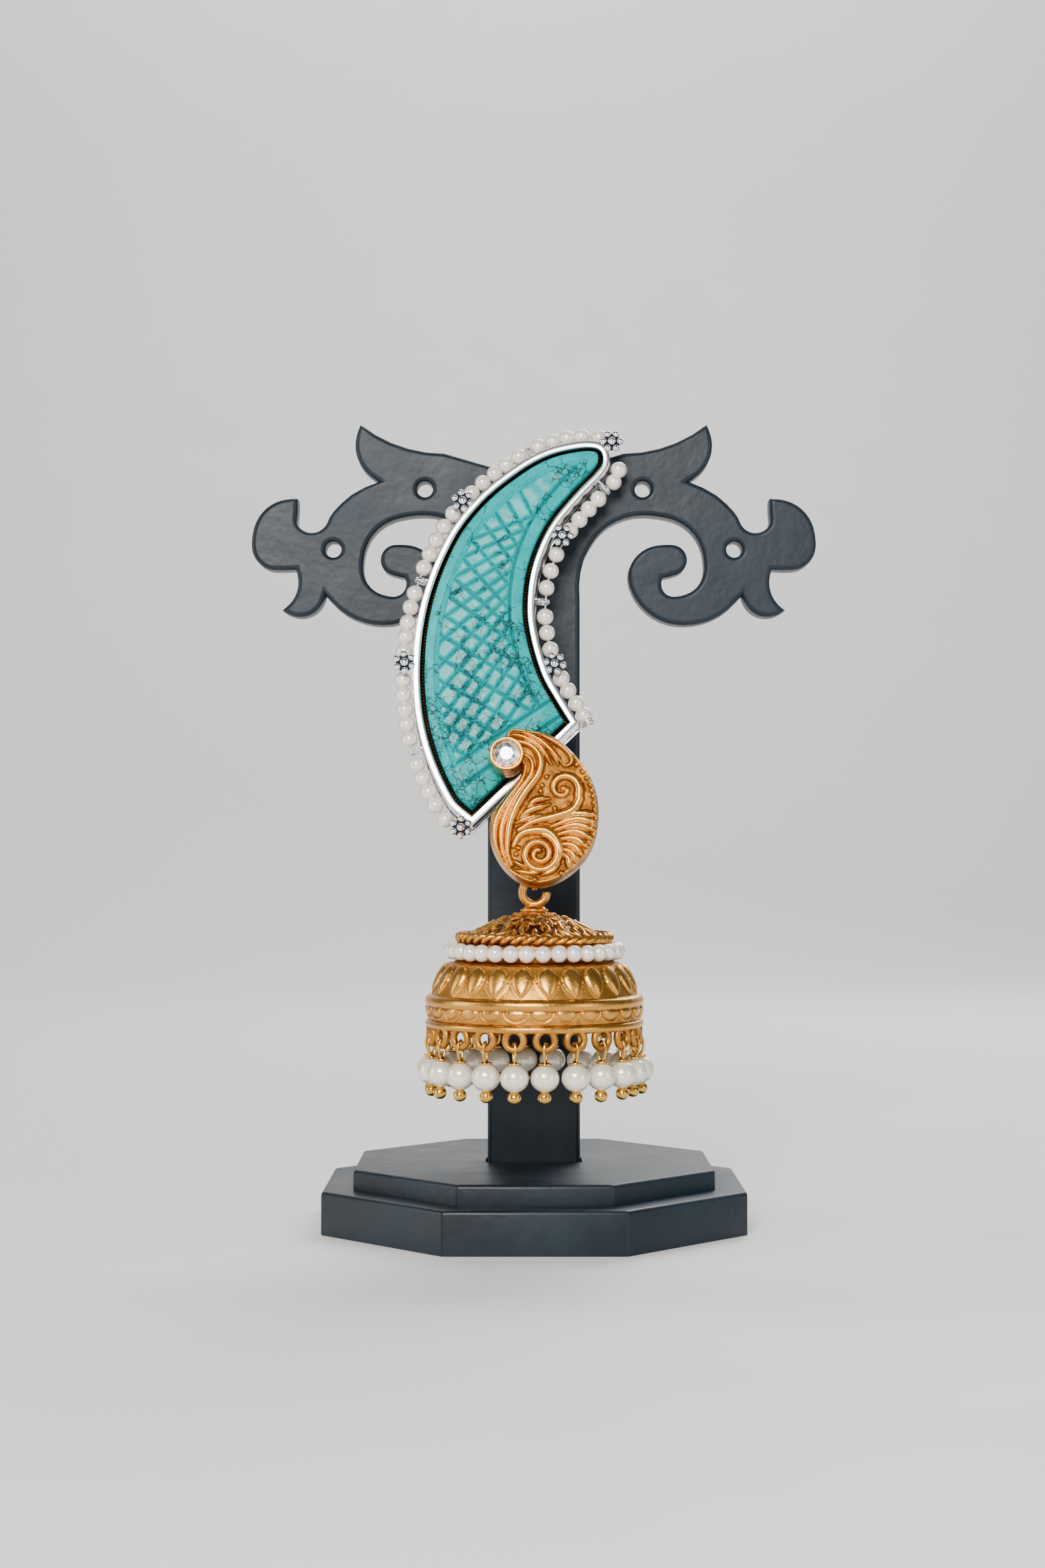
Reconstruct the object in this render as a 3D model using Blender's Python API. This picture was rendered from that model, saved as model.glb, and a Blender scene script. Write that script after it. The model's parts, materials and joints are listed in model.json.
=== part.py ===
"""A jhumka earring hung on its plain display stand, in metres, +Z up, facing -Y."""
import bpy
import bmesh
from math import asin, atan2, ceil, cos, hypot, pi, radians, sin, tan
from mathutils import Matrix, Vector

MM = 0.001
GAP = 0.3 * MM

# Stand
BASE_FLATS = 64 * MM
BASE_TALL = 6.5 * MM
STEP_FLATS = 54.6 * MM
STEP_TALL = 3 * MM
BASE_EDGE = 0.6 * MM
SLOT_DEEP = 4 * MM
PLATE = 5 * MM
POST_WIDE = 14.3 * MM
ARM_SPAN = 88 * MM
ARM_TALL = 31.5 * MM
STAND_TALL = 124 * MM
SIDE_HOLE = 2.5 * MM
HOLE_PLACES = ((0.266, 0.321), (0.653, 0.620))
STUD_DROP = 11.5 * MM

# Right arm of the upright: arcs, each through one point to the next. Columns are the
# share across from the post's edge to the arm's end, and the share down the arm,
# first for the point passed and then for the arc's end.
ARM_TOP_MIDDLE = 0.272
ARM_ARCS = (
    (0.014, 0.197, 0.185, 0.143),
    (0.375, 0.105, 0.538, 0.000),
    (0.563, 0.092, 0.459, 0.284),
    (0.577, 0.348, 0.672, 0.451),
    (0.765, 0.534, 0.811, 0.482),
    (0.801, 0.420, 0.804, 0.367),
    (0.947, 0.423, 0.997, 0.570),
    (0.966, 0.692, 0.891, 0.728),
    (0.849, 0.726, 0.810, 0.721),
    (0.801, 0.813, 0.868, 0.921),
    (0.784, 0.957, 0.686, 0.846),
    (0.594, 0.954, 0.436, 1.000),
    (0.272, 0.925, 0.199, 0.764),
    (0.251, 0.636, 0.373, 0.597),
    (0.454, 0.667, 0.396, 0.748),
    (0.373, 0.757, 0.350, 0.761),
    (0.350, 0.820, 0.412, 0.852),
    (0.507, 0.793, 0.527, 0.690),
    (0.479, 0.534, 0.342, 0.459),
    (0.157, 0.475, 0.042, 0.597),
    (0.008, 0.708, 0.000, 0.872),
)
ARC_STEP = radians(34)

# Horn bezel
HORN_WIDE = 29.9 * MM
HORN_TALL = 60.3 * MM
BEZEL_DEEP = 4.5 * MM
BACK_PLATE = 0.8 * MM
FLANGE = 0.25 * MM
RIM_WIDE = 1.1 * MM
CHANNEL = 0.7 * MM
STUD_GAP = 2 * MM
PIN_WIDE = 0.8 * MM
PIN_TAIL = 1 * MM
NUT_WIDE = 4.6 * MM
NUT_LONG = 2.5 * MM

# Edge of the horn from its right corner, up the hollow side, over the tip and down
# the outer side. Columns are shares of HORN_WIDE across and HORN_TALL up from the pin.
HORN_EDGE = (
    (0.223, -0.625),
    (0.142, -0.558),
    (0.068, -0.488),
    (0.008, -0.372),
    (0.005, -0.288),
    (0.037, -0.205),
    (0.115, -0.117),
    (0.243, -0.035),
    (0.373, 0.037),
    (0.389, 0.072),
    (0.368, 0.100),
    (0.316, 0.114),
    (0.216, 0.113),
    (0.061, 0.093),
    (-0.091, 0.050),
    (-0.291, -0.035),
    (-0.446, -0.142),
    (-0.571, -0.310),
    (-0.611, -0.487),
    (-0.571, -0.660),
    (-0.436, -0.823),
    (-0.307, -0.884),
)
TIP_STATIONS = 10
HORN_LOWEST = 0.884
EDGE_STEPS = 2

# Stone, flowers, loops and pearl strings of the bezel
STONE_PROUD = 1 * MM
STONE_STATIONS = 20
STONE_START = 0.015
STONE_SECTION = ((0, 0), (0.1, 0.6), (0.34, 1), (0.66, 1), (0.9, 0.6), (1, 0))
FLOWER_WIDE = 3.4 * MM
FLOWER_DEEP = 1.1 * MM
FLOWER_OUT = 1.3 * MM
FLOWER_ROWS = ((1, 0), (1, 0.55), (0.72, 0.85), (0.34, 0.5))
FLOWER_NOTCH = 0.74
FLOWER_SIDES = 12
FLOWERS_HOLLOW_SIDE = (0.342, 0.793)
FLOWERS_OUTER_SIDE = (0.0, 0.312, 0.649, 0.985)
SIDE_PEARL = 2.44 * MM
SIDE_PEARL_GAP = 0.35 * MM
PEARL_LIFT = 2 * MM
STRING_WIRE = 0.4 * MM
LOOP_WIRE = 0.54 * MM
LOOPS_HOLLOW_SIDE = (0.122, 0.568)
LOOPS_OUTER_SIDE = (0.148, 0.480, 0.815)
STRING_HOLLOW_SIDE = (0.060, 0.978)
STRING_OUTER_SIDE = (0.020, 0.951)
STRING_STEP = 3.2 * MM

# Paisley, its collet, crystal and hook
PAISLEY_WIDE = 16.1 * MM
PAISLEY_TALL = 23.2 * MM
PAISLEY_DEEP = 4 * MM
PAISLEY_HANG = 9.7 * MM
PAISLEY_EDGE = 0.5 * MM
RIB_TALL = 0.8 * MM
RIB_WIDE = 1.1 * MM
RIB_END = 0.5
RIB_CROWN = 0.5
COLLET_WIDE = 5 * MM
COLLET_WALL = 0.5 * MM
COLLET_PLACE = (-0.255, 0.825)
COLLET_PROUD = 1.6 * MM
CRYSTAL_DEEP = 1.9 * MM
CRYSTAL_ROWS = ((0.12, 0), (1, 0.62), (1, 0.7), (0.58, 1))
CRYSTAL_SIDES = 12
COLLET_SIDES = 14
HOOK_WIDE = 3.3 * MM
HOOK_WIRE = 0.7 * MM
HOOK_UP = 1.5 * MM
LINK_GAP = 0.35 * MM

# Paisley outline and the middle lines of its ribs: shares of PAISLEY_WIDE across from
# the hook and of PAISLEY_TALL up from the lowest point.
PAISLEY_OUTLINE = (
    (-0.248, 0.987),
    (-0.200, 0.850),
    (-0.118, 0.776),
    (-0.137, 0.685),
    (-0.261, 0.573),
    (-0.398, 0.422),
    (-0.379, 0.237),
    (-0.205, 0.065),
    (0.043, 0.000),
    (0.329, 0.082),
    (0.528, 0.250),
    (0.584, 0.478),
    (0.516, 0.685),
    (0.360, 0.845),
    (0.180, 0.953),
    (-0.037, 0.996),
)
PAISLEY_RIBS = (
    ((-0.003, 0.855), (0.056, 0.752), (0.023, 0.622), (-0.075, 0.519), (-0.261, 0.306), (-0.193, 0.122)),
    ((-0.034, 0.640), (-0.128, 0.538), (-0.308, 0.343), (-0.284, 0.149)),
    ((-0.115, 0.944), (0.043, 0.888), (0.155, 0.766)),
    ((-0.035, 0.958), (0.122, 0.893), (0.240, 0.766)),
    ((0.057, 0.949), (0.201, 0.883), (0.312, 0.775)),
    ((0.180, 0.372), (0.343, 0.413), (0.540, 0.445)),
    ((0.199, 0.357), (0.356, 0.316), (0.440, 0.214)),
    ((0.219, 0.325), (0.316, 0.251), (0.342, 0.131)),
)

# Spirals: middle, outer radius as a share of PAISLEY_WIDE, turns
UPPER_SCROLL = ((0.259, 0.608), 0.112, 1.1)
LOWER_SCROLL = ((0.048, 0.195), 0.144, 1.25)
SCROLL_START = 0.3
SCROLL_STEPS = 9

# Bell
BAIL_WIDE = 4.8 * MM
BAIL_WIRE = 1.2 * MM
BAIL_OPENING = radians(26)
BELL_CLEAR = 0.8 * MM
COLLAR_WIDE = 4.1 * MM
COLLAR_TALL = 1.1 * MM
DOME_TALL = 4.4 * MM
DOME_POWER = 1.35
RING_PEARLS = 33
RING_PEARL = 2.4 * MM
RING_WIDE = 24.4 * MM
ROPE_WIDE = 0.9 * MM
SKIRT_WIDE = 28.6 * MM
SKIRT_TALL = 4.9 * MM
BAND_WIDE = 32.1 * MM
BAND_TALL = 1.2 * MM
FRIEZE_TALL = 2 * MM
WALL = 1 * MM
COLUMNS = 48
DOME_SHARES = (0.45, 0.75)
SKIRT_ROWS = ((0.22, "petal"), (0.5, "petal"), (0.84, "plain"))
SKIRT_POWER = 1.6
PETALS = 24
PETAL_RAISE = 0.5 * MM
LEAVES = 12
LEAF_RAISE = 0.35 * MM
LEAF_TWIST = 1.2
LEAF_SPREAD = 0.4
DROPS = 22
DROP_TURN = radians(5.5)
DROP_CIRCLE = 30.7 * MM
RIM_LOOP = 3.5 * MM
RIM_LOOP_WIRE = 0.85 * MM
RIM_LOOP_SUNK = 0.5 * MM
EYE_WIRE = 0.55 * MM
DROP_PEARL = 4.1 * MM
DROP_STEM = 0.68 * MM
CAP_WIDE = 1.9 * MM
BALL_WIDE = 1.9 * MM
ROUND = 10


def clear_scene():
    for old in list(bpy.data.objects):
        bpy.data.objects.remove(old, do_unlink=True)


def material(name, colour, metallic, roughness):
    made = bpy.data.materials.new(name)
    made.use_nodes = True
    shader = made.node_tree.nodes["Principled BSDF"]
    shader.inputs["Base Color"].default_value = (*colour, 1)
    shader.inputs["Metallic"].default_value = metallic
    shader.inputs["Roughness"].default_value = roughness
    return made


def empty(name, place, tilt=0.0):
    made = bpy.data.objects.new(name, None)
    made.empty_display_size = 5 * MM
    made.location = place
    made.rotation_euler = (tilt, 0, 0)
    bpy.context.scene.collection.objects.link(made)
    return made


def make_object(name, mesh, finish, parent=None, sharp=40):
    """Turn a bmesh into a named, smooth-shaded object."""
    bmesh.ops.recalc_face_normals(mesh, faces=mesh.faces)
    data = bpy.data.meshes.new(name)
    mesh.to_mesh(data)
    mesh.free()
    data.shade_smooth()
    data.set_sharp_from_angle(angle=radians(sharp))
    data.materials.append(finish)
    made = bpy.data.objects.new(name, data)
    made.parent = parent
    bpy.context.scene.collection.objects.link(made)
    return made


def cutter(name, mesh, parent=None):
    """A helper body that a Boolean uses and that is not part of the object."""
    bmesh.ops.recalc_face_normals(mesh, faces=mesh.faces)
    data = bpy.data.meshes.new(name)
    mesh.to_mesh(data)
    mesh.free()
    made = bpy.data.objects.new(name, data)
    made.parent = parent
    made.hide_render = True
    made.display_type = 'WIRE'
    bpy.context.scene.collection.objects.link(made)
    return made


def boolean(target, helper, operation, crossing=False):
    """Cut or fuse a helper body, whose own pieces may cross each other."""
    step = target.modifiers.new(helper.name, 'BOOLEAN')
    step.operation = operation
    step.solver = 'EXACT'
    step.use_self = crossing
    step.object = helper


def skin(mesh, rings, close=False):
    """Faces between successive rings of equal length, with flat caps unless closed."""
    loops = [[mesh.verts.new(point) for point in ring] for ring in rings]
    pairs = list(zip(loops, loops[1:]))
    if close:
        pairs.append((loops[-1], loops[0]))
    else:
        mesh.faces.new(loops[0])
        mesh.faces.new(loops[-1])
    for first, second in pairs:
        for i in range(len(first)):
            mesh.faces.new((first[i - 1], first[i], second[i], second[i - 1]))


def lathe(mesh, profile, sides, place=Vector()):
    """Turn (radius, height) rows round Z. A radius of zero closes an end in a point."""
    rows = []
    for radius, height in profile:
        count = sides if radius > 0 else 1
        turns = [2 * pi * i / sides for i in range(count)]
        rows.append([mesh.verts.new(place + Vector((radius * cos(a), radius * sin(a), height)))
                     for a in turns])
    for upper, lower in zip(rows, rows[1:]):
        for i in range(sides):
            if len(upper) == 1:
                corners = [upper[0], lower[i], lower[i - 1]]
            elif len(lower) == 1:
                corners = [upper[i - 1], upper[i], lower[0]]
            else:
                corners = [upper[i - 1], upper[i], lower[i], lower[i - 1]]
            mesh.faces.new(corners)
    for end in (rows[0], rows[-1]):
        if len(end) > 1:
            mesh.faces.new(end)


def ring_body(mesh, place, across, up, radius, wire, turns=ROUND, sides=5, start=0.0, sweep=2 * pi):
    """A round wire ring, or an open one, in the plane of two unit directions."""
    whole = sweep > 2 * pi - 0.001
    steps = turns if whole else turns + 1
    normal = across.cross(up)
    rings = []
    for i in range(steps):
        a = start + sweep * i / turns
        out = across * cos(a) + up * sin(a)
        centre = place + out * radius
        rings.append([centre + (out * cos(2 * pi * j / sides) + normal * sin(2 * pi * j / sides)) * wire
                      for j in range(sides)])
    skin(mesh, rings, close=whole)


def smooth_line(points, steps, closed=False):
    """Points along one smooth curve through the given 2D points."""
    count = len(points)
    spans = count if closed else count - 1
    line = []
    for i in range(spans):
        start = points[i]
        end = points[(i + 1) % count]
        before = points[i - 1] if closed or i > 0 else start
        after = points[(i + 2) % count] if closed or i + 2 < count else end
        reach = (end - start).length
        leave = (end - before).normalized() * reach
        arrive = (after - start).normalized() * reach
        for step in range(steps):
            t = step / steps
            line.append(start * (2 * t ** 3 - 3 * t ** 2 + 1) + leave * (t ** 3 - 2 * t ** 2 + t)
                        + end * (3 * t ** 2 - 2 * t ** 3) + arrive * (t ** 3 - t ** 2))
    if not closed:
        line.append(points[-1])
    return line


def arc_points(start, through, end):
    """Points after the start along the circle through three 2D points."""
    first = through - start
    second = end - start
    cross = 2 * first.cross(second)
    if abs(cross) < 1e-12:
        return [through, end]
    centre = start + Vector((second.y * first.length_squared - first.y * second.length_squared,
                             first.x * second.length_squared - second.x * first.length_squared)) / cross
    begin = start - centre
    turn = begin.angle_signed(end - centre) * -1
    middle = begin.angle_signed(through - centre) * -1
    if turn * middle < 0 or abs(middle) > abs(turn):
        turn -= 2 * pi * (1 if turn > 0 else -1)
    count = max(1, ceil(abs(turn) / ARC_STEP))
    return [centre + Matrix.Rotation(turn * i / count, 2) @ begin for i in range(1, count + 1)]


def offset_outline(points, grow):
    """A closed counter-clockwise outline moved outwards by a distance."""
    moved = []
    for i, here in enumerate(points):
        back = (here - points[i - 1]).normalized()
        ahead = (points[(i + 1) % len(points)] - here).normalized()
        normal_back = Vector((back.y, -back.x))
        normal_ahead = Vector((ahead.y, -ahead.x))
        moved.append(here + (normal_back + normal_ahead) * grow / (1 + normal_back.dot(normal_ahead)))
    return moved


def along(line, share):
    """Place and direction at a share of the length of a line of 2D points."""
    lengths = [(b - a).length for a, b in zip(line, line[1:])]
    left = share * sum(lengths)
    for i, length in enumerate(lengths):
        if left <= length or i == len(lengths) - 1:
            way = (line[i + 1] - line[i]).normalized()
            return line[i] + way * left, way
        left -= length


def front(point, depth):
    """A point of the earring's face plane at a distance out from the stand."""
    return Vector((point.x, -depth, point.y))


def octagon(flats, height):
    reach = flats / 2 / cos(pi / 8)
    return [Vector((reach * cos(pi / 8 + i * pi / 4), reach * sin(pi / 8 + i * pi / 4), height))
            for i in range(8)]


def box(mesh, low, high):
    rings = [[Vector((x, y, z)) for x, y in ((low[0], low[1]), (high[0], low[1]),
                                            (high[0], high[1]), (low[0], high[1]))]
             for z in (low[2], high[2])]
    skin(mesh, rings)


# Places that follow from the sizes above
BASE_TOP = BASE_TALL + STEP_TALL
STUD_HEIGHT = STAND_TALL - STUD_DROP
LOOP_RADIUS = (STRING_WIRE + LOOP_WIRE) / 2 + GAP
LOOP_OUT = LOOP_RADIUS + LOOP_WIRE / 8
PAISLEY_BACK = STUD_GAP + BEZEL_DEEP + STONE_PROUD + GAP
PAISLEY_FRONT = PAISLEY_BACK + PAISLEY_DEEP
PAISLEY_LOWEST = -(HORN_LOWEST * HORN_TALL + PAISLEY_HANG)
HOOK_RADIUS = (HOOK_WIDE - HOOK_WIRE) / 2
HOOK_DEPTH = PAISLEY_BACK + HOOK_WIRE / 4 - HOOK_RADIUS
HOOK_HEIGHT = PAISLEY_LOWEST + HOOK_UP
BELL_REACH = (DROP_CIRCLE + DROP_PEARL) / 2
BELL_OUT = PLATE / 2 + BELL_CLEAR + BELL_REACH


def lean_angle():
    """The lean that holds the bell's axis BELL_OUT in front of the stand."""
    reach = hypot(HOOK_DEPTH, HOOK_HEIGHT)
    return asin((BELL_OUT - PLATE / 2) / reach) - atan2(HOOK_DEPTH, -HOOK_HEIGHT)


LEAN = lean_angle()
HOOK_PLACE = Vector((0, -BELL_OUT, STUD_HEIGHT + HOOK_HEIGHT * cos(LEAN) + HOOK_DEPTH * sin(LEAN)))
PIVOT = HOOK_PLACE - Vector((0, 0, HOOK_RADIUS))
BAIL_HOLE = BAIL_WIDE / 2 - BAIL_WIRE
BAIL_CENTRE = HOOK_WIRE / 2 + LINK_GAP - BAIL_HOLE
COLLAR_TOP = BAIL_CENTRE - BAIL_WIDE / 2 + BAIL_WIRE / 3
DOME_TOP = COLLAR_TOP - COLLAR_TALL
DOME_FOOT = DOME_TOP - DOME_TALL
DOME_RADIUS = RING_WIDE / 2 - RING_PEARL / 2 - GAP
RING_HEIGHT = DOME_FOOT - ROPE_WIDE / 2 - RING_PEARL / 4
LEDGE_HEIGHT = RING_HEIGHT - RING_PEARL / 2 - GAP
SKIRT_FOOT = LEDGE_HEIGHT - SKIRT_TALL
FRIEZE_TOP = SKIRT_FOOT - BAND_TALL
HEM_BAND_TOP = FRIEZE_TOP - FRIEZE_TALL
HEM = HEM_BAND_TOP - BAND_TALL
RIM_LOOP_RADIUS = (RIM_LOOP - RIM_LOOP_WIRE) / 2
RIM_LOOP_HEIGHT = HEM + RIM_LOOP_SUNK - RIM_LOOP / 2
EYE_HEIGHT = RIM_LOOP_HEIGHT - RIM_LOOP_RADIUS
EYE_RADIUS = RIM_LOOP_WIRE / 2 + GAP + EYE_WIRE / 2


def horn_outline():
    points = [Vector((across * HORN_WIDE, up * HORN_TALL)) for across, up in HORN_EDGE]
    return smooth_line(points, EDGE_STEPS)


def horn_sides(grow):
    """The hollow and the outer side of the horn, each from the tip down."""
    outline = offset_outline(horn_outline(), grow)
    tip = TIP_STATIONS * EDGE_STEPS
    return outline[tip::-1], outline[tip:]


def stand_base(finish):
    mesh = bmesh.new()
    skin(mesh, [
        octagon(BASE_FLATS, 0),
        octagon(BASE_FLATS, BASE_TALL - BASE_EDGE),
        octagon(BASE_FLATS - 2 * BASE_EDGE, BASE_TALL),
        octagon(STEP_FLATS, BASE_TALL),
        octagon(STEP_FLATS, BASE_TOP - BASE_EDGE),
        octagon(STEP_FLATS - 2 * BASE_EDGE, BASE_TOP),
    ])
    base = make_object("stand_base", mesh, finish)
    slot = bmesh.new()
    half_wide = POST_WIDE / 2 + GAP
    half_thick = PLATE / 2 + GAP
    box(slot, (-half_wide, -half_thick, BASE_TOP - SLOT_DEEP - GAP), (half_wide, half_thick, BASE_TOP + GAP))
    boolean(base, cutter("slot_cutter", slot), 'DIFFERENCE')


def arm_outline():
    """Right half of the upright's outline, from the middle of its top to its foot."""
    edge = POST_WIDE / 2
    reach = ARM_SPAN / 2 - edge
    line = [Vector((0, STAND_TALL - ARM_TOP_MIDDLE * ARM_TALL))]
    for via_across, via_down, end_across, end_down in ARM_ARCS:
        through = Vector((edge + via_across * reach, STAND_TALL - via_down * ARM_TALL))
        end = Vector((edge + end_across * reach, STAND_TALL - end_down * ARM_TALL))
        line += arc_points(line[-1], through, end)
    line.append(Vector((edge, BASE_TOP - SLOT_DEEP)))
    return line


def stand_upright(finish):
    right = arm_outline()
    left = [Vector((-point.x, point.y)) for point in reversed(right[1:])]
    mesh = bmesh.new()
    skin(mesh, [[Vector((p.x, y, p.y)) for p in right + left] for y in (-PLATE / 2, PLATE / 2)])
    upright = make_object("stand_upright", mesh, finish)
    rise = PLATE * tan(LEAN)
    places = [(0, STUD_HEIGHT - rise / 2, (PIN_WIDE + rise) / 2 + GAP + GAP / 6)]
    reach = (ARM_SPAN - POST_WIDE) / 2
    for across, down in HOLE_PLACES:
        x = POST_WIDE / 2 + across * reach
        places += [(side * x, STAND_TALL - down * ARM_TALL, SIDE_HOLE / 2) for side in (-1, 1)]
    holes = bmesh.new()
    for x, z, radius in places:
        ring = [(x + radius * cos(2 * pi * i / ROUND), z + radius * sin(2 * pi * i / ROUND))
                for i in range(ROUND)]
        skin(holes, [[Vector((px, y, pz)) for px, pz in ring] for y in (-PLATE, PLATE)])
    boolean(upright, cutter("hole_cutter", holes), 'DIFFERENCE')


def flower(mesh, point, depth):
    """A six-petalled button with a raised middle."""
    middle = FLOWER_WIDE / 2
    heart = FLOWER_ROWS[-1][0]
    rings = []
    for share, lift in FLOWER_ROWS:
        ring = []
        for i in range(FLOWER_SIDES):
            lobe = 1 if i % 2 == 0 or share == heart else FLOWER_NOTCH
            a = 2 * pi * i / FLOWER_SIDES
            spot = point + Vector((cos(a), sin(a))) * middle * share * lobe
            ring.append(front(spot, depth + FLOWER_DEEP * lift))
        rings.append(ring)
    verts = [[mesh.verts.new(p) for p in ring] for ring in rings]
    peak = mesh.verts.new(front(point, depth + FLOWER_DEEP))
    mesh.faces.new(verts[0])
    for first, second in zip(verts, verts[1:]):
        for i in range(FLOWER_SIDES):
            mesh.faces.new((first[i - 1], first[i], second[i], second[i - 1]))
    for i in range(FLOWER_SIDES):
        mesh.faces.new((verts[-1][i - 1], verts[-1][i], peak))


def outward(way, hollow_side):
    return Vector((-way.y, way.x)) if hollow_side else Vector((way.y, -way.x))


def horn_bezel(finish, parent):
    back = STUD_GAP
    rim = STUD_GAP + BEZEL_DEEP
    outline = horn_outline()
    flange = offset_outline(outline, FLANGE)
    inner = offset_outline(outline, -RIM_WIDE)
    mesh = bmesh.new()
    skin(mesh, [
        [front(p, back) for p in flange],
        [front(p, back + BACK_PLATE) for p in outline],
        [front(p, rim) for p in outline],
        [front(p, rim) for p in inner],
        [front(p, back + BACK_PLATE) for p in inner],
    ])
    bezel = make_object("horn_bezel", mesh, finish, parent)
    fittings = bmesh.new()
    hollow, outer = horn_sides(0)
    sides = ((hollow, True, FLOWERS_HOLLOW_SIDE, LOOPS_HOLLOW_SIDE),
             (outer, False, FLOWERS_OUTER_SIDE, LOOPS_OUTER_SIDE))
    for line, is_hollow, flowers, loops in sides:
        for share in flowers:
            point, way = along(line, share)
            spot = point + outward(way, is_hollow) * FLOWER_OUT
            flower(fittings, spot, rim - FLOWER_DEEP * 0.85)
        for share in loops:
            point, way = along(line, share)
            out = outward(way, is_hollow)
            ring_body(fittings, front(point + out * LOOP_OUT, back + PEARL_LIFT), front(out, 0),
                      Vector((0, -1, 0)), LOOP_RADIUS, LOOP_WIRE / 2)
    tail = PIN_TAIL + NUT_LONG + nut_front()
    pin = [[Vector((PIN_WIDE / 2 * cos(2 * pi * i / ROUND), y, PIN_WIDE / 2 * sin(2 * pi * i / ROUND)))
            for i in range(ROUND)] for y in (-back - BACK_PLATE / 2, tail)]
    skin(fittings, pin)
    boolean(bezel, cutter("bezel_fittings", fittings, parent), 'UNION')


def nut_front():
    """Distance along the pin from the stand's front to the nut, which clears the plate."""
    return PLATE / cos(LEAN) + NUT_WIDE / 2 * tan(LEAN) + GAP


def ear_nut(finish, parent):
    mesh = bmesh.new()
    bore = PIN_WIDE / 2 + GAP
    start = nut_front()
    rows = ((bore, 0), (NUT_WIDE / 2, 0), (NUT_WIDE / 2, NUT_LONG), (bore, NUT_LONG))
    sides = 12
    rings = [[Vector((radius * cos(2 * pi * i / sides), start + y, radius * sin(2 * pi * i / sides)))
              for i in range(sides)] for radius, y in rows]
    skin(mesh, rings, close=True)
    make_object("ear_nut", mesh, finish, parent)


def turquoise_stone(finish, parent):
    """Horn-shaped stone: one cross-section for each station from the tip down."""
    hollow, outer = horn_sides(-RIM_WIDE - CHANNEL)
    floor = STUD_GAP + BACK_PLATE + GAP
    girdle = STUD_GAP + BEZEL_DEEP - GAP
    crown = STUD_GAP + BEZEL_DEEP + STONE_PROUD - girdle
    rings = []
    for i in range(STONE_STATIONS + 1):
        share = STONE_START + (1 - STONE_START) * i / STONE_STATIONS
        right = along(hollow, share)[0]
        left = along(outer, share)[0]
        width = (right - left).length
        rise = crown * min(1, width / (5 * STONE_PROUD))
        ring = [front(left, floor)]
        ring += [front(left.lerp(right, across), girdle + rise * lift) for across, lift in STONE_SECTION]
        ring.append(front(right, floor))
        rings.append(ring)
    mesh = bmesh.new()
    skin(mesh, rings)
    make_object("turquoise_stone", mesh, finish, parent)


def pearl_string(name, is_hollow, ends, loops, finish, parent):
    """A string of pearls as one tube, thin where its wire passes through a loop."""
    radius = SIDE_PEARL / 2
    away = radius + SIDE_PEARL_GAP
    number = 0 if is_hollow else 1
    edge = horn_sides(0)[number]
    line = horn_sides(away)[number]
    length = sum((b - a).length for a, b in zip(line, line[1:]))
    full = LOOP_WIRE / 2 + GAP * 2 + radius * 0.3
    thin = LOOP_WIRE / 2 + GAP * 1.3

    def line_share(share):
        point, way = along(edge, share)
        return nearest_share(line, point + outward(way, is_hollow) * away)

    begin = line_share(ends[0]) - radius / length
    stops = []
    for share in (*loops, None):
        if share is None:
            stop = line_share(ends[1]) + radius / length
        else:
            stop = line_share(share) - full / length
        count = max(1, round((stop - begin) * length / STRING_STEP))
        stops += [(along(line, begin + (stop - begin) * i / count)[0], 1) for i in range(count + 1)]
        if share is not None:
            point, way = along(edge, share)
            middle = point + outward(way, is_hollow) * LOOP_OUT
            stops += [(middle + way * side * thin, STRING_WIRE / SIDE_PEARL) for side in (-1, 1)]
            begin = stop + 2 * full / length
    curve = bpy.data.curves.new(name, 'CURVE')
    curve.dimensions = '3D'
    curve.bevel_depth = radius
    curve.bevel_resolution = 2
    curve.use_fill_caps = True
    spline = curve.splines.new('POLY')
    spline.points.add(len(stops) - 1)
    for target, (point, share) in zip(spline.points, stops):
        target.co = (*front(point, STUD_GAP + PEARL_LIFT), 1)
        target.radius = share
    curve.materials.append(finish)
    made = bpy.data.objects.new(name, curve)
    made.parent = parent
    bpy.context.scene.collection.objects.link(made)


def nearest_share(line, point):
    """Share of the line's length at its place closest to a point."""
    tries = 400
    gaps = [((along(line, i / tries)[0] - point).length, i / tries) for i in range(tries + 1)]
    return min(gaps)[1]


def paisley_point(across, up):
    return Vector((across * PAISLEY_WIDE, PAISLEY_LOWEST + up * PAISLEY_TALL))


def rib(mesh, points, sunk):
    """A tapering cast ridge along a line of 2D points on the paisley's face."""
    rings = []
    last = len(points) - 1
    for i, here in enumerate(points):
        way = (points[min(i + 1, last)] - points[max(i - 1, 0)]).normalized()
        side = Vector((way.y, -way.x)) * RIB_WIDE / 2
        swell = RIB_END if i in (0, last) else 1
        rings.append([
            front(here - side * swell, PAISLEY_FRONT - sunk),
            front(here - side * swell * RIB_CROWN, PAISLEY_FRONT + RIB_TALL * swell),
            front(here + side * swell * RIB_CROWN, PAISLEY_FRONT + RIB_TALL * swell),
            front(here + side * swell, PAISLEY_FRONT - sunk),
        ])
    skin(mesh, rings)


def scroll_line(place, share, turns):
    """Points of a spiral that grows to a share of the paisley's width."""
    centre = paisley_point(*place)
    count = ceil(turns * SCROLL_STEPS)
    line = []
    for i in range(count + 1):
        grown = (SCROLL_START + (1 - SCROLL_START) * i / count) * share * PAISLEY_WIDE
        a = 2 * pi * turns * i / count
        line.append(centre + Vector((cos(a), sin(a))) * grown)
    return line


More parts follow.
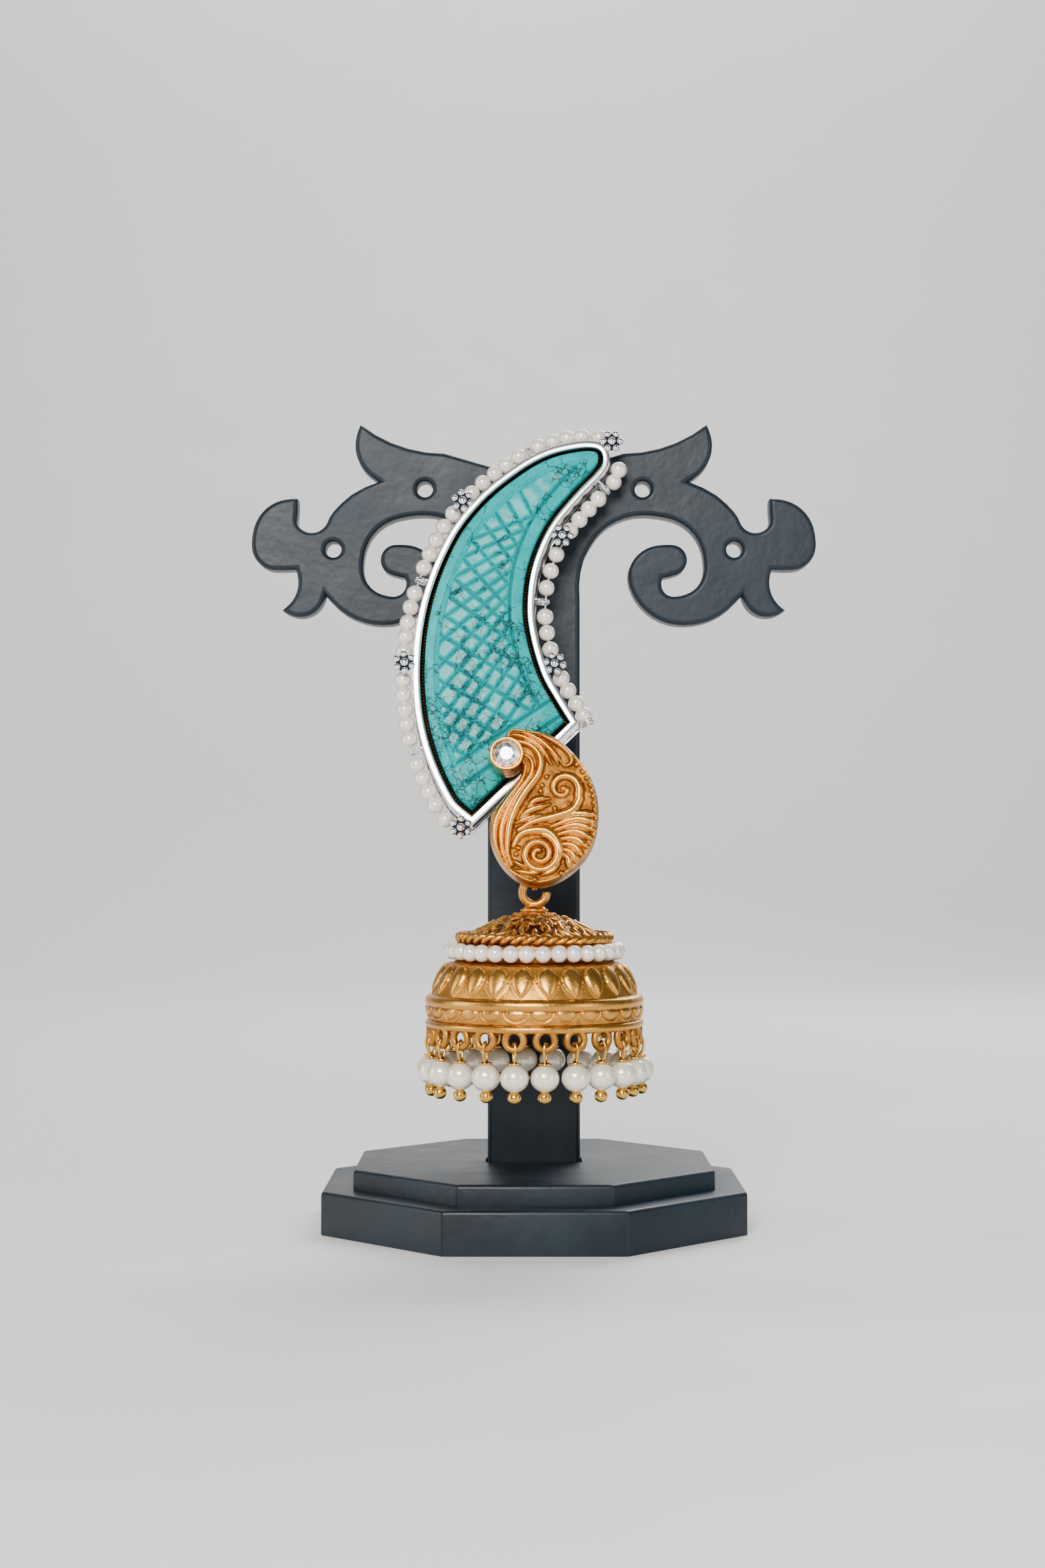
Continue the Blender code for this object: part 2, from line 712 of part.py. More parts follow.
def paisley_mount(finish, parent):
    outline = smooth_line([paisley_point(*spot) for spot in PAISLEY_OUTLINE], 2, closed=True)
    inset = offset_outline(outline, -PAISLEY_EDGE)
    mesh = bmesh.new()
    skin(mesh, [
        [front(p, PAISLEY_BACK) for p in outline],
        [front(p, PAISLEY_FRONT - PAISLEY_EDGE) for p in outline],
        [front(p, PAISLEY_FRONT) for p in inset],
    ])
    body = make_object("paisley_mount", mesh, finish, parent)
    ribs = bmesh.new()
    lines = [smooth_line([paisley_point(*spot) for spot in spots], 2) for spots in PAISLEY_RIBS]
    lines += [scroll_line(*UPPER_SCROLL), scroll_line(*LOWER_SCROLL)]
    for number, line in enumerate(lines):
        rib(ribs, line, GAP + number * GAP / 20)
    boolean(body, cutter("paisley_ribs", ribs, parent), 'UNION', crossing=True)
    collet = bmesh.new()
    centre = paisley_point(*COLLET_PLACE)
    tube = circle_ring(centre, COLLET_WIDE / 2, COLLET_SIDES)
    skin(collet, [[front(p, depth) for p in tube] for depth in (PAISLEY_BACK, PAISLEY_FRONT + COLLET_PROUD)])
    boolean(body, cutter("collet_body", collet, parent), 'UNION')
    hook = bmesh.new()
    ring_body(hook, Vector((0, -HOOK_DEPTH, HOOK_HEIGHT)), Vector((0, 1, 0)), Vector((0, 0, 1)),
              HOOK_RADIUS, HOOK_WIRE / 2)
    boolean(body, cutter("hook_body", hook, parent), 'UNION')
    seat = bmesh.new()
    hollow = circle_ring(centre, COLLET_WIDE / 2 - COLLET_WALL, COLLET_SIDES)
    top = PAISLEY_FRONT + COLLET_PROUD
    skin(seat, [[front(p, depth) for p in hollow] for depth in (top - CRYSTAL_DEEP, top + GAP)])
    boolean(body, cutter("collet_seat", seat, parent), 'DIFFERENCE')


def circle_ring(centre, radius, sides):
    turns = [2 * pi * i / sides for i in range(sides)]
    return [centre + Vector((cos(a), sin(a))) * radius for a in turns]


def crystal_stone(finish, parent):
    """Round brilliant: pointed back, girdle and flat table with twelve crown facets."""
    centre = paisley_point(*COLLET_PLACE)
    girdle = COLLET_WIDE / 2 - COLLET_WALL - GAP * 1.2
    floor = PAISLEY_FRONT + COLLET_PROUD - CRYSTAL_DEEP + GAP
    rings = [[front(p, floor + CRYSTAL_DEEP * lift)
              for p in circle_ring(centre, girdle * share, CRYSTAL_SIDES)]
             for share, lift in CRYSTAL_ROWS]
    mesh = bmesh.new()
    skin(mesh, rings)
    make_object("crystal_stone", mesh, finish, parent, sharp=10)


def dome_rows():
    """Outer rows of the bell down to its hem: radius, height, relief kind."""
    rows = []
    for share in DOME_SHARES:
        rows.append((DOME_RADIUS * share, DOME_TOP - DOME_TALL * share ** DOME_POWER, "leaf"))
    rope = ROPE_WIDE / 2
    ledge = RING_WIDE / 2 + rope
    skirt = SKIRT_WIDE / 2
    band = BAND_WIDE / 2
    bead = BAND_TALL / 2
    rows += [
        (DOME_RADIUS - rope, DOME_FOOT + rope, "plain"),
        (DOME_RADIUS, DOME_FOOT, "plain"),
        (DOME_RADIUS, LEDGE_HEIGHT, "plain"),
        (ledge, LEDGE_HEIGHT, "plain"),
    ]
    for share, kind in SKIRT_ROWS:
        radius = ledge + (skirt - ledge) * share ** SKIRT_POWER
        rows.append((radius, LEDGE_HEIGHT - SKIRT_TALL * share, kind))
    for top in (SKIRT_FOOT, HEM_BAND_TOP):
        rows += [
            (band - bead, top, "plain"),
            (band, top - bead, "plain"),
            (band - bead, top - BAND_TALL, "plain"),
        ]
    return rows


def wall_rows():
    """Inner rows of the bell from its hem back up, one wall inside the outer ones."""
    return [
        (BAND_WIDE / 2 - BAND_TALL / 2 - WALL, HEM),
        (SKIRT_WIDE / 2 - WALL, SKIRT_FOOT),
        (RING_WIDE / 2 - WALL, LEDGE_HEIGHT - WALL * 1.2),
        (DOME_RADIUS - WALL, LEDGE_HEIGHT),
        (DOME_RADIUS - WALL * 1.4, DOME_FOOT - WALL * 0.6),
    ]


def bell_shell():
    mesh = bmesh.new()
    top = mesh.verts.new((0, 0, DOME_TOP))
    inside = mesh.verts.new((0, 0, DOME_TOP - WALL * 1.6))
    loops = []
    for number, (radius, height, kind) in enumerate(dome_rows()):
        ring = []
        for i in range(COLUMNS):
            a = 2 * pi * i / COLUMNS
            raised = 0
            if kind == "petal":
                raised = PETAL_RAISE * (0.5 + 0.5 * cos(PETALS * a))
            if kind == "leaf":
                raised = LEAF_RAISE * cos(LEAVES * a + number * LEAF_TWIST)
            reach = radius + raised * (1 if kind == "petal" else LEAF_SPREAD)
            lift = raised if kind == "leaf" else 0
            ring.append(mesh.verts.new((reach * cos(a), reach * sin(a), height + lift)))
        loops.append(ring)
    for radius, height in wall_rows():
        loops.append([mesh.verts.new((radius * cos(2 * pi * i / COLUMNS), radius * sin(2 * pi * i / COLUMNS),
                                      height)) for i in range(COLUMNS)])
    for i in range(COLUMNS):
        mesh.faces.new((top, loops[0][i - 1], loops[0][i]))
        mesh.faces.new((inside, loops[-1][i], loops[-1][i - 1]))
    for upper, lower in zip(loops, loops[1:]):
        for i in range(COLUMNS):
            mesh.faces.new((upper[i - 1], upper[i], lower[i], lower[i - 1]))
    return mesh


def bell_dome(finish, parent):
    bell = make_object("bell_dome", bell_shell(), finish, parent)
    fittings = bmesh.new()
    for i in range(DROPS):
        a = DROP_TURN + 2 * pi * (i + 0.5) / DROPS
        out = Vector((cos(a), sin(a), 0))
        along_rim = Vector((-sin(a), cos(a), 0))
        place = out * DROP_CIRCLE / 2 + Vector((0, 0, RIM_LOOP_HEIGHT))
        ring_body(fittings, place, along_rim, Vector((0, 0, 1)), RIM_LOOP_RADIUS, RIM_LOOP_WIRE / 2)
    boolean(bell, cutter("rim_loops", fittings, parent), 'UNION')
    collar = bmesh.new()
    half = COLLAR_WIDE / 2
    lathe(collar, ((half * 0.7, COLLAR_TOP), (half, COLLAR_TOP - COLLAR_TALL * 0.4),
                   (half, DOME_TOP - COLLAR_TALL / 2)), COLLET_SIDES)
    boolean(bell, cutter("collar_body", collar, parent), 'UNION')
    bail = bmesh.new()
    ring_body(bail, Vector((0, 0, BAIL_CENTRE)), Vector((1, 0, 0)), Vector((0, 0, 1)),
              (BAIL_WIDE - BAIL_WIRE) / 2, BAIL_WIRE / 2, 12, 6, BAIL_OPENING, 2 * pi - BAIL_OPENING)
    boolean(bell, cutter("bail_body", bail, parent), 'UNION')


def bell_pearl_ring(finish, parent):
    """The shoulder's ring of pearls as one closed tube."""
    curve = bpy.data.curves.new("bell_pearl_ring", 'CURVE')
    curve.dimensions = '3D'
    curve.bevel_depth = RING_PEARL / 2
    curve.bevel_resolution = 2
    spline = curve.splines.new('POLY')
    spline.points.add(RING_PEARLS - 1)
    spline.use_cyclic_u = True
    for i, target in enumerate(spline.points):
        a = 2 * pi * i / RING_PEARLS
        target.co = (RING_WIDE / 2 * cos(a), RING_WIDE / 2 * sin(a), RING_HEIGHT, 1)
    curve.materials.append(finish)
    made = bpy.data.objects.new("bell_pearl_ring", curve)
    made.parent = parent
    bpy.context.scene.collection.objects.link(made)


def drop_mesh(finish):
    """Wire eye, cap, pearl and ball. The origin is the middle of the eye."""
    pearl = DROP_PEARL / 2
    ball = BALL_WIDE / 2
    cap = CAP_WIDE / 2
    eye_foot = -EYE_RADIUS - EYE_WIRE / 2
    centre = eye_foot - DROP_STEM - pearl
    profile = (
        (EYE_WIRE * 0.55, eye_foot + EYE_WIRE * 0.4),
        (cap, centre + pearl * 0.94),
        (pearl * 0.84, centre + pearl * 0.54),
        (pearl, centre),
        (pearl * 0.7, centre - pearl * 0.71),
        (ball * 0.5, centre - pearl * 0.97),
        (ball, centre - pearl - ball * 0.7),
        (0, centre - pearl - ball * 1.7),
    )
    mesh = bmesh.new()
    lathe(mesh, profile, ROUND)
    body = make_object("drop_body", mesh, finish)
    eye = bmesh.new()
    ring_body(eye, Vector(), Vector((1, 0, 0)), Vector((0, 0, 1)), EYE_RADIUS, EYE_WIRE / 2)
    helper = cutter("drop_eye", eye)
    boolean(body, helper, 'UNION')
    ready = body.evaluated_get(bpy.context.evaluated_depsgraph_get())
    fused = bpy.data.meshes.new_from_object(ready)
    fused.name = "drop"
    bpy.data.objects.remove(body, do_unlink=True)
    bpy.data.objects.remove(helper, do_unlink=True)
    return fused


def bell_drops(finish, parent):
    shape = drop_mesh(finish)
    for i in range(DROPS):
        a = DROP_TURN + 2 * pi * (i + 0.5) / DROPS
        drop = bpy.data.objects.new(f"drop_{i + 1:02d}", shape)
        drop.parent = parent
        drop.location = (DROP_CIRCLE / 2 * cos(a), DROP_CIRCLE / 2 * sin(a), EYE_HEIGHT)
        drop.rotation_euler = (0, 0, a)
        bpy.context.scene.collection.objects.link(drop)


def build():
    clear_scene()
    plastic = material("black_plastic", (0.012, 0.014, 0.017), 0.0, 0.42)
    silver = material("oxidised_silver", (0.75, 0.76, 0.78), 1.0, 0.28)
    turquoise = material("turquoise", (0.015, 0.55, 0.56), 0.0, 0.35)
    small_pearl = material("small_pearl", (0.86, 0.80, 0.70), 0.0, 0.25)
    drop_pearl = material("drop_pearl", (0.86, 0.80, 0.70), 0.0, 0.25)
    gold = material("antique_gold", (0.72, 0.42, 0.18), 1.0, 0.42)
    crystal = material("crystal", (0.9, 0.92, 0.95), 0.0, 0.05)

    stand_base(plastic)
    stand_upright(plastic)
    earring = empty("earring_lean", (0, -PLATE / 2, STUD_HEIGHT), -LEAN)
    horn_bezel(silver, earring)
    ear_nut(silver, earring)
    turquoise_stone(turquoise, earring)
    pearl_string("pearl_string_left", False, STRING_OUTER_SIDE, LOOPS_OUTER_SIDE, small_pearl, earring)
    pearl_string("pearl_string_right", True, STRING_HOLLOW_SIDE, LOOPS_HOLLOW_SIDE, small_pearl, earring)
    paisley_mount(gold, earring)
    crystal_stone(crystal, earring)
    bell = empty("bell_swing", PIVOT)
    bell_dome(gold, bell)
    bell_pearl_ring(small_pearl, bell)
    bell_drops(drop_pearl, bell)


build()
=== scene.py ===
"""Looks of a jhumka earring and its display stand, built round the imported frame."""
import json
import random
from math import asin, atan, atan2, ceil, cos, hypot, pi, radians, sin, tan

import bmesh
import bpy
import numpy as np
from mathutils import Matrix, Vector
from mathutils.geometry import delaunay_2d_cdt

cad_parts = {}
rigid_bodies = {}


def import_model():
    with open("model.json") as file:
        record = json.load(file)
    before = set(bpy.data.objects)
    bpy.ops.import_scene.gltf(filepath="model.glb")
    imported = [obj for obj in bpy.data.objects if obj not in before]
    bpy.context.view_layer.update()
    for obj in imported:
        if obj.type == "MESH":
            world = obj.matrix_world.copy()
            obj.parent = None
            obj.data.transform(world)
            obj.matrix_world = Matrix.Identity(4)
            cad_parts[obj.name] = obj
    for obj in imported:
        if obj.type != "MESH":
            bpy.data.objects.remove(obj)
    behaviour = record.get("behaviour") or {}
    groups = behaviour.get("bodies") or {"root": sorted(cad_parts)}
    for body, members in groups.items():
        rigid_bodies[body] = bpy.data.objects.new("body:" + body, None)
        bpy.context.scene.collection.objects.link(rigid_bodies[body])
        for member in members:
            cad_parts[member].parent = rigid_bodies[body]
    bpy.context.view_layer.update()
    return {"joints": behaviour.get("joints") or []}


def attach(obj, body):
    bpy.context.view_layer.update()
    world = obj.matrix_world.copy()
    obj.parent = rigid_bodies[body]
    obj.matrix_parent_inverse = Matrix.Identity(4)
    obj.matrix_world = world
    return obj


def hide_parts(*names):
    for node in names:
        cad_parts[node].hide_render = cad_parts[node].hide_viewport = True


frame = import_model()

random.seed(7)
noise_source = np.random.default_rng(7)
MM = 0.001

# Photograph and camera
PHOTO_TALL = 2353
FOCAL_PIXELS = 3600
HORIZON_PIXEL = 1262
CAMERA_PLACE = Vector((-1.76, -374.5, 59.1)) * MM
SENSOR = 36

# Stand
BASE_FLATS = 64 * MM
BASE_TALL = 6.5 * MM
STEP_FLATS = 54.6 * MM
STEP_TALL = 3 * MM
BASE_ROUND = 0.6 * MM
SLOT_DEEP = 4 * MM
PLATE = 5 * MM
PLATE_ROUND = 0.7 * MM
POST_WIDE = 14.3 * MM
ARM_SPAN = 88 * MM
ARM_TALL = 31.5 * MM
STAND_TALL = 124 * MM
SIDE_HOLE = 2.5 * MM
PIN_HOLE = 1.8 * MM
HOLE_PLACES = ((0.266, 0.321), (0.653, 0.620))
STUD_DROP = 11.5 * MM
GAP = 0.3 * MM
NUB_WIDE = 2.2 * MM

# Right arm of the upright: arcs, each through one point to the next. Columns are the
# share across from the post's edge to the arm's end, and the share down the arm,
# first for the point passed and then for the arc's end.
ARM_TOP_MIDDLE = 0.272
ARM_ARCS = (
    (0.014, 0.197, 0.185, 0.143), (0.375, 0.105, 0.538, 0.000), (0.563, 0.092, 0.459, 0.284),
    (0.577, 0.348, 0.672, 0.451), (0.765, 0.534, 0.811, 0.482), (0.801, 0.420, 0.804, 0.367),
    (0.947, 0.423, 0.997, 0.570), (0.966, 0.692, 0.891, 0.728), (0.849, 0.726, 0.810, 0.721),
    (0.801, 0.813, 0.868, 0.921), (0.784, 0.957, 0.686, 0.846), (0.594, 0.954, 0.436, 1.000),
    (0.272, 0.925, 0.199, 0.764), (0.251, 0.636, 0.373, 0.597), (0.454, 0.667, 0.396, 0.748),
    (0.373, 0.757, 0.350, 0.761), (0.350, 0.820, 0.412, 0.852), (0.507, 0.793, 0.527, 0.690),
    (0.479, 0.534, 0.342, 0.459), (0.157, 0.475, 0.042, 0.597), (0.008, 0.708, 0.000, 0.872),
)
ARC_STEP = radians(9)
EASE_PASSES = 3
EASE_TURN = radians(55)
EASE_REACH = 4 * MM
HOLE_SIDES = 28
FLAT_FACE = 0.999

# Horn bezel, from its right corner up the hollow side, over the tip and down the outer
# side. Columns are shares of HORN_WIDE across and HORN_TALL up from the ear pin.
HORN_WIDE = 29.9 * MM
HORN_TALL = 60.3 * MM
HORN_LOWEST = 0.884
HORN_EDGE = (
    (0.223, -0.625), (0.142, -0.558), (0.068, -0.488), (0.008, -0.372), (0.005, -0.288),
    (0.037, -0.205), (0.115, -0.117), (0.243, -0.035), (0.373, 0.037), (0.389, 0.072),
    (0.368, 0.100), (0.316, 0.114), (0.216, 0.113), (0.061, 0.093), (-0.091, 0.050),
    (-0.291, -0.035), (-0.446, -0.142), (-0.571, -0.310), (-0.611, -0.487), (-0.571, -0.660),
    (-0.436, -0.823), (-0.307, -0.884),
)
HORN_TIP = 10
EDGE_STEPS = 8
STUD_GAP = 2 * MM
BEZEL_DEEP = 4.5 * MM
BACK_PLATE = 0.8 * MM
FLANGE = 0.25 * MM
RIM_WIDE = 1.1 * MM
RIM_ROUND = 0.18 * MM
CHANNEL = 0.7 * MM
MILLED_BEAD = 0.48 * MM
PIN_WIDE = 0.8 * MM
PIN_TAIL = 1 * MM
NUT_WIDE = 4.6 * MM
NUT_LONG = 2.5 * MM
NUT_SIDES = 64

# Flowers, loops and pearls along the bezel's sides, as shares from the tip down
FLOWER_OUT = 1.3 * MM
FLOWER_RING = 1.28 * MM
FLOWER_BALL = 1.06 * MM
FLOWER_HEART = 1.3 * MM
FLOWERS_HOLLOW_SIDE = (0.342, 0.793)
FLOWERS_OUTER_SIDE = (0.0, 0.312, 0.649, 0.985)
LOOP_OUTSIDE = 0.95 * MM
LOOP_WIRE = 0.3 * MM
LOOPS_HOLLOW_SIDE = (0.122, 0.568)
LOOPS_OUTER_SIDE = (0.148, 0.480, 0.815)
SIDE_PEARL = 2.44 * MM
SIDE_PEARL_GAP = 0.35 * MM
PEARL_LIFT = 2 * MM
THREAD = 0.3 * MM

# Runs of pearls: share of the first, share of the last, how many
RUNS_HOLLOW_SIDE = ((0.060, 0.088, 2), (0.157, 0.299, 4), (0.397, 0.518, 3), (0.618, 0.732, 3),
                    (0.839, 0.978, 4))
RUNS_OUTER_SIDE = ((0.020, 0.128, 5), (0.169, 0.283, 5), (0.336, 0.455, 5), (0.506, 0.622, 5),
                   (0.676, 0.790, 5), (0.839, 0.951, 5))

# Stone: a border, a groove along each side, two across the foot and a cut lattice
STONE_PROUD = 1 * MM
STONE_GRID = 0.15 * MM
STONE_EDGE = 0.35 * MM
BAND_OUTER = 1.75 * MM
BAND_HOLLOW = 2.0 * MM
BAND_DROP = 0.3 * MM
GROOVE_WIDE = 0.85 * MM
GROOVE_DEEP = 0.42 * MM
CUT_WIDE = 0.7 * MM
CUT_DEEP = 0.36 * MM
FOOT_GROOVES = (((-12.15, -44.42), (2.42, -34.22)), ((-10.56, -47.36), (3.96, -36.58)))

# Straight cuts of the lattice. Columns: number of the cut, millimetres from the tip
# along the groove where it starts, degrees below level. Cuts between are spread evenly.
CUTS_FROM_OUTER = (
    (0, 11.0, 64), (3, 18.7, 54), (5, 25.0, 49), (6, 28.5, 42), (7, 31.4, 37), (9, 37.6, 32),
    (14, 55.1, 28),
)
CUTS_FROM_HOLLOW = (
    (0, 10.3, 22), (4, 19.5, 36), (6, 23.5, 47), (8, 28.0, 56), (12, 38.5, 58), (14, 43.5, 60),
)
CUT_LONG = 40 * MM

# Paisley
PAISLEY_WIDE = 16.1 * MM
PAISLEY_TALL = 23.2 * MM
PAISLEY_DEEP = 4 * MM
PAISLEY_HANG = 9.7 * MM
PAISLEY_GRID = 0.11 * MM
PAISLEY_EDGE = 0.95 * MM
RIB_TALL = 0.8 * MM
COLLET_WIDE = 5 * MM
COLLET_WALL = 0.42 * MM
COLLET_PLACE = (-0.255, 0.825)
COLLET_PROUD = 1.6 * MM
CRYSTAL_DEEP = 1.9 * MM
HOOK_WIDE = 3.3 * MM
HOOK_WIRE = 0.7 * MM
HOOK_UP = 1.5 * MM
LINK_GAP = 0.35 * MM

# Paisley outline, ribs and beads: shares of PAISLEY_WIDE across from the hook and of
# PAISLEY_TALL up from the lowest point. A rib's first numbers are its width at the
# middle and its height, both in millimetres.
PAISLEY_OUTLINE = (
    (-0.248, 0.987), (-0.200, 0.850), (-0.118, 0.776), (-0.137, 0.685), (-0.261, 0.573),
    (-0.398, 0.422), (-0.379, 0.237), (-0.205, 0.065), (0.043, 0.000), (0.329, 0.082),
    (0.528, 0.250), (0.584, 0.478), (0.516, 0.685), (0.360, 0.845), (0.180, 0.953),
    (-0.037, 0.996),
)
PAISLEY_RIBS = (
    (1.25, 0.80, ((-0.286, 0.938), (-0.141, 0.912), (-0.036, 0.890), (0.037, 0.836), (0.056, 0.762),
                  (0.017, 0.687), (-0.062, 0.612), (-0.141, 0.528), (-0.206, 0.426), (-0.239, 0.316),
                  (-0.245, 0.205), (-0.205, 0.120))),
    (0.85, 0.62, ((-0.102, 0.835), (-0.035, 0.799), (-0.020, 0.734), (-0.068, 0.662), (-0.160, 0.578),
                  (-0.238, 0.485), (-0.288, 0.389), (-0.302, 0.297), (-0.284, 0.195), (-0.225, 0.103))),
    (0.95, 0.55, ((-0.085, 0.762), (-0.102, 0.696), (-0.180, 0.612), (-0.280, 0.510), (-0.345, 0.408),
                  (-0.366, 0.316), (-0.346, 0.214), (-0.278, 0.118), (-0.167, 0.050))),
    (0.75, 0.55, ((-0.200, 0.962), (-0.115, 0.950), (0.043, 0.888), (0.155, 0.766))),
    (0.80, 0.60, ((-0.110, 0.975), (-0.035, 0.958), (0.122, 0.888), (0.215, 0.766))),
    (0.75, 0.66, ((-0.009, 0.950), (0.109, 0.890), (0.201, 0.818), (0.262, 0.765))),
    (0.75, 0.66, ((0.060, 0.962), (0.201, 0.906), (0.299, 0.850), (0.340, 0.795), (0.310, 0.762),
                  (0.262, 0.762))),
    (0.90, 0.62, ((-0.062, 0.491), (0.016, 0.538), (0.134, 0.547))),
    (1.00, 0.62, ((-0.128, 0.426), (-0.036, 0.473), (0.134, 0.510))),
    (0.80, 0.50, ((-0.167, 0.389), (-0.075, 0.417), (0.055, 0.441))),
    (0.70, 0.45, ((-0.160, 0.085), (-0.037, 0.070), (0.068, 0.076))),
    (0.70, 0.50, ((0.068, 0.055), (0.159, 0.085), (0.224, 0.125))),
    (0.60, 0.45, ((-0.193, 0.149), (-0.128, 0.122), (-0.076, 0.108))),
)
PAISLEY_BEADS = (
    (0.384, 0.766), (0.437, 0.719), (0.476, 0.678), (0.509, 0.635), (0.521, 0.598), (0.534, 0.561),
    (0.540, 0.519), (0.547, 0.478), (0.533, 0.380), (0.493, 0.269), (0.394, 0.159), (0.243, 0.066),
    (0.002, 0.025), (0.109, 0.687), (0.069, 0.631), (0.056, 0.594), (0.186, 0.482), (-0.147, 0.228),
    (-0.167, 0.191),
)
PAISLEY_BEAD = 0.78 * MM
# Step of a crystal facet's painted reflection brightness from one face to the next
FACET_STEP = 0.382

# Rings of the cut crystal: corners, share of its girdle, millimetres below its table and
# the turn in shares of a corner
GEM_RINGS = ((8, 0.50, 0, 0), (8, 0.74, 0.2, 0.5), (16, 1, 0.52, 0), (16, 1, 0.60, 0), (8, 0.5, 1.2, 0.5))
UPPER_SPIRAL = (0.262, 0.610)
LOWER_SPIRAL = (0.042, 0.193)
SCROLL_SWEEP = (
    (-0.193, 0.241), (-0.128, 0.316), (-0.010, 0.343), (0.120, 0.334), (0.199, 0.278), (0.231, 0.205),
    (0.205, 0.131),
)
UPPER_TAIL = ((0.409, 0.545), (0.350, 0.478), (0.199, 0.436), (-0.010, 0.398), (-0.150, 0.345))
FAN_ROOTS = ((0.134, 0.395), (0.236, 0.200))
FAN_ENDS = (
    (0.561, 0.440), (0.560, 0.395), (0.545, 0.345), (0.520, 0.290), (0.480, 0.235), (0.430, 0.185),
    (0.375, 0.140), (0.310, 0.108),
)

# Bell
BAIL_WIDE = 4.8 * MM
BAIL_WIRE = 1.2 * MM
BAIL_OPENING = radians(26)
COLLAR_WIDE = 4.1 * MM
COLLAR_TALL = 1.1 * MM
DOME_TALL = 4.4 * MM
DOME_POWER = 2.0
RING_PEARLS = 33
RING_PEARL = 2.4 * MM
RING_WIDE = 24.4 * MM
ROPE_WIDE = 0.9 * MM
ROPE_TURNS = 42
ROPE_THICK = 1.4 * MM
SKIRT_WIDE = 30.2 * MM
SKIRT_TALL = 4.9 * MM
SKIRT_POWER = 0.6
UPPER_BAND_TALL = 1.75 * MM
HEM_BAND_TALL = 1.3 * MM
HEM_LOWER = 0.4 * MM
BAND_BULGE = 0.7 * MM
SHOULDER_IN = 0.7 * MM
BAND_WIDE = 32.1 * MM
BAND_TALL = 1.2 * MM
FRIEZE_TALL = 2 * MM
WALL = 1 * MM
BELL_COLUMNS = 528
DOME_UNITS = 8
PETALS = 24
PETAL_WIDE = 3.1 * MM
PETAL_TALL = 4.5 * MM
PETAL_RAISE = 0.62 * MM
SCALLOPS = 27
SCALLOP_WIDE = 2.9 * MM
SCALLOP_TALL = 1.15 * MM
SCALLOP_RAISE = 0.42 * MM
DROPS = 22
DROP_TURN = radians(5.5)
DROP_CIRCLE = 30.7 * MM
RIM_LOOP = 3.5 * MM
RIM_LOOP_WIRE = 0.85 * MM
RIM_LOOP_SUNK = 0.5 * MM
EYE_WIRE = 0.4 * MM
CAD_EYE_WIRE = 0.55 * MM
DROP_PEARL = 4.1 * MM
DROP_STEM = 0.68 * MM
CAP_WIDE = 1.9 * MM
BALL_WIDE = 1.9 * MM

# Turned profiles. Columns: share of the half width, then millimetres up from the collar's
# top, and for a drop's cap and neck millimetres down from its pearl's top and its foot.
COLLAR_PROFILE = ((0, 0.05), (0.45, 0.04), (0.72, -0.14), (0.8, -0.4), (0.98, -0.5), (1, -0.72),
                  (0.92, -0.95), (1.02, -1.12))
CAP_PROFILE = ((0, -0.3), (0.34, -0.28), (0.5, -0.12), (1, -0.06), (1.04, 0.06), (0.98, 0.17), (0.5, 0.1))
NECK_PROFILE = ((0.5, -0.25), (0.62, -0.08), (0.5, 0.06))

# Relief of one sector of the dome: width and height in millimetres, then places as shares
# of the half sector across and of the dome's length from its middle
DOME_RIBS = (
    (0.75, 0.34, ((0, 0.93), (0.22, 0.86), (0.50, 0.80), (0.66, 0.70), (0.52, 0.62), (0.36, 0.66),
                  (0.40, 0.72))),
    (0.70, 0.34, ((0, 0.60), (0.30, 0.55), (0.62, 0.58), (0.92, 0.52))),
    (0.80, 0.36, ((0, 0.84), (0, 0.70))),
    (0.60, 0.30, ((0.06, 0.48), (0.30, 0.40), (0.75, 0.38))),
    (0.75, 0.34, ((1.0, 0.93), (0.86, 0.84), (0.98, 0.72))),
    (0.50, 0.26, ((0.62, 0.92), (0.72, 0.84))),
    (0.50, 0.26, ((0.36, 0.93), (0.28, 0.97))),
    (0.60, 0.30, ((0, 0.30), (0, 0.22))),
    (0.60, 0.30, ((1.0, 0.64), (1.0, 0.42))),
    (0.55, 0.28, ((0.5, 0.30), (0.6, 0.20))),
)

# Stage, in metres: a floor that bends up into a wall, and rectangular lights. Columns of
# the lights: place, width, height, watts and colour. The backdrop light aims at the wall.
FLOOR_REACH = 2.5
WALL_BACK = 1.1
WALL_BEND = 0.5
WALL_TOP = 2.4
WALL_AIM = 0.25
AIM = Vector((0, -12 * MM, 72 * MM))
WORLD_COLOUR = (0.86, 0.90, 0.95, 1)
WORLD_STRENGTH = 0.18
LIGHTS = {
    "key": ((-0.10, -0.55, 0.31), 0.26, 0.22, 4.6, (1.0, 0.975, 0.94)),
    "fill": ((0.55, -0.42, 0.16), 0.25, 0.40, 1.3, (0.93, 0.96, 1.0)),
    "side": ((-0.60, -0.10, 0.18), 0.25, 0.45, 1.6, (1.0, 0.98, 0.95)),
    "back": ((0.22, 0.45, 0.42), 0.30, 0.30, 2.2, (0.95, 0.97, 1.0)),
    "backdrop": ((0.0, 0.55, 1.05), 0.80, 0.40, 9.0, (1.0, 1.0, 1.0)),
}

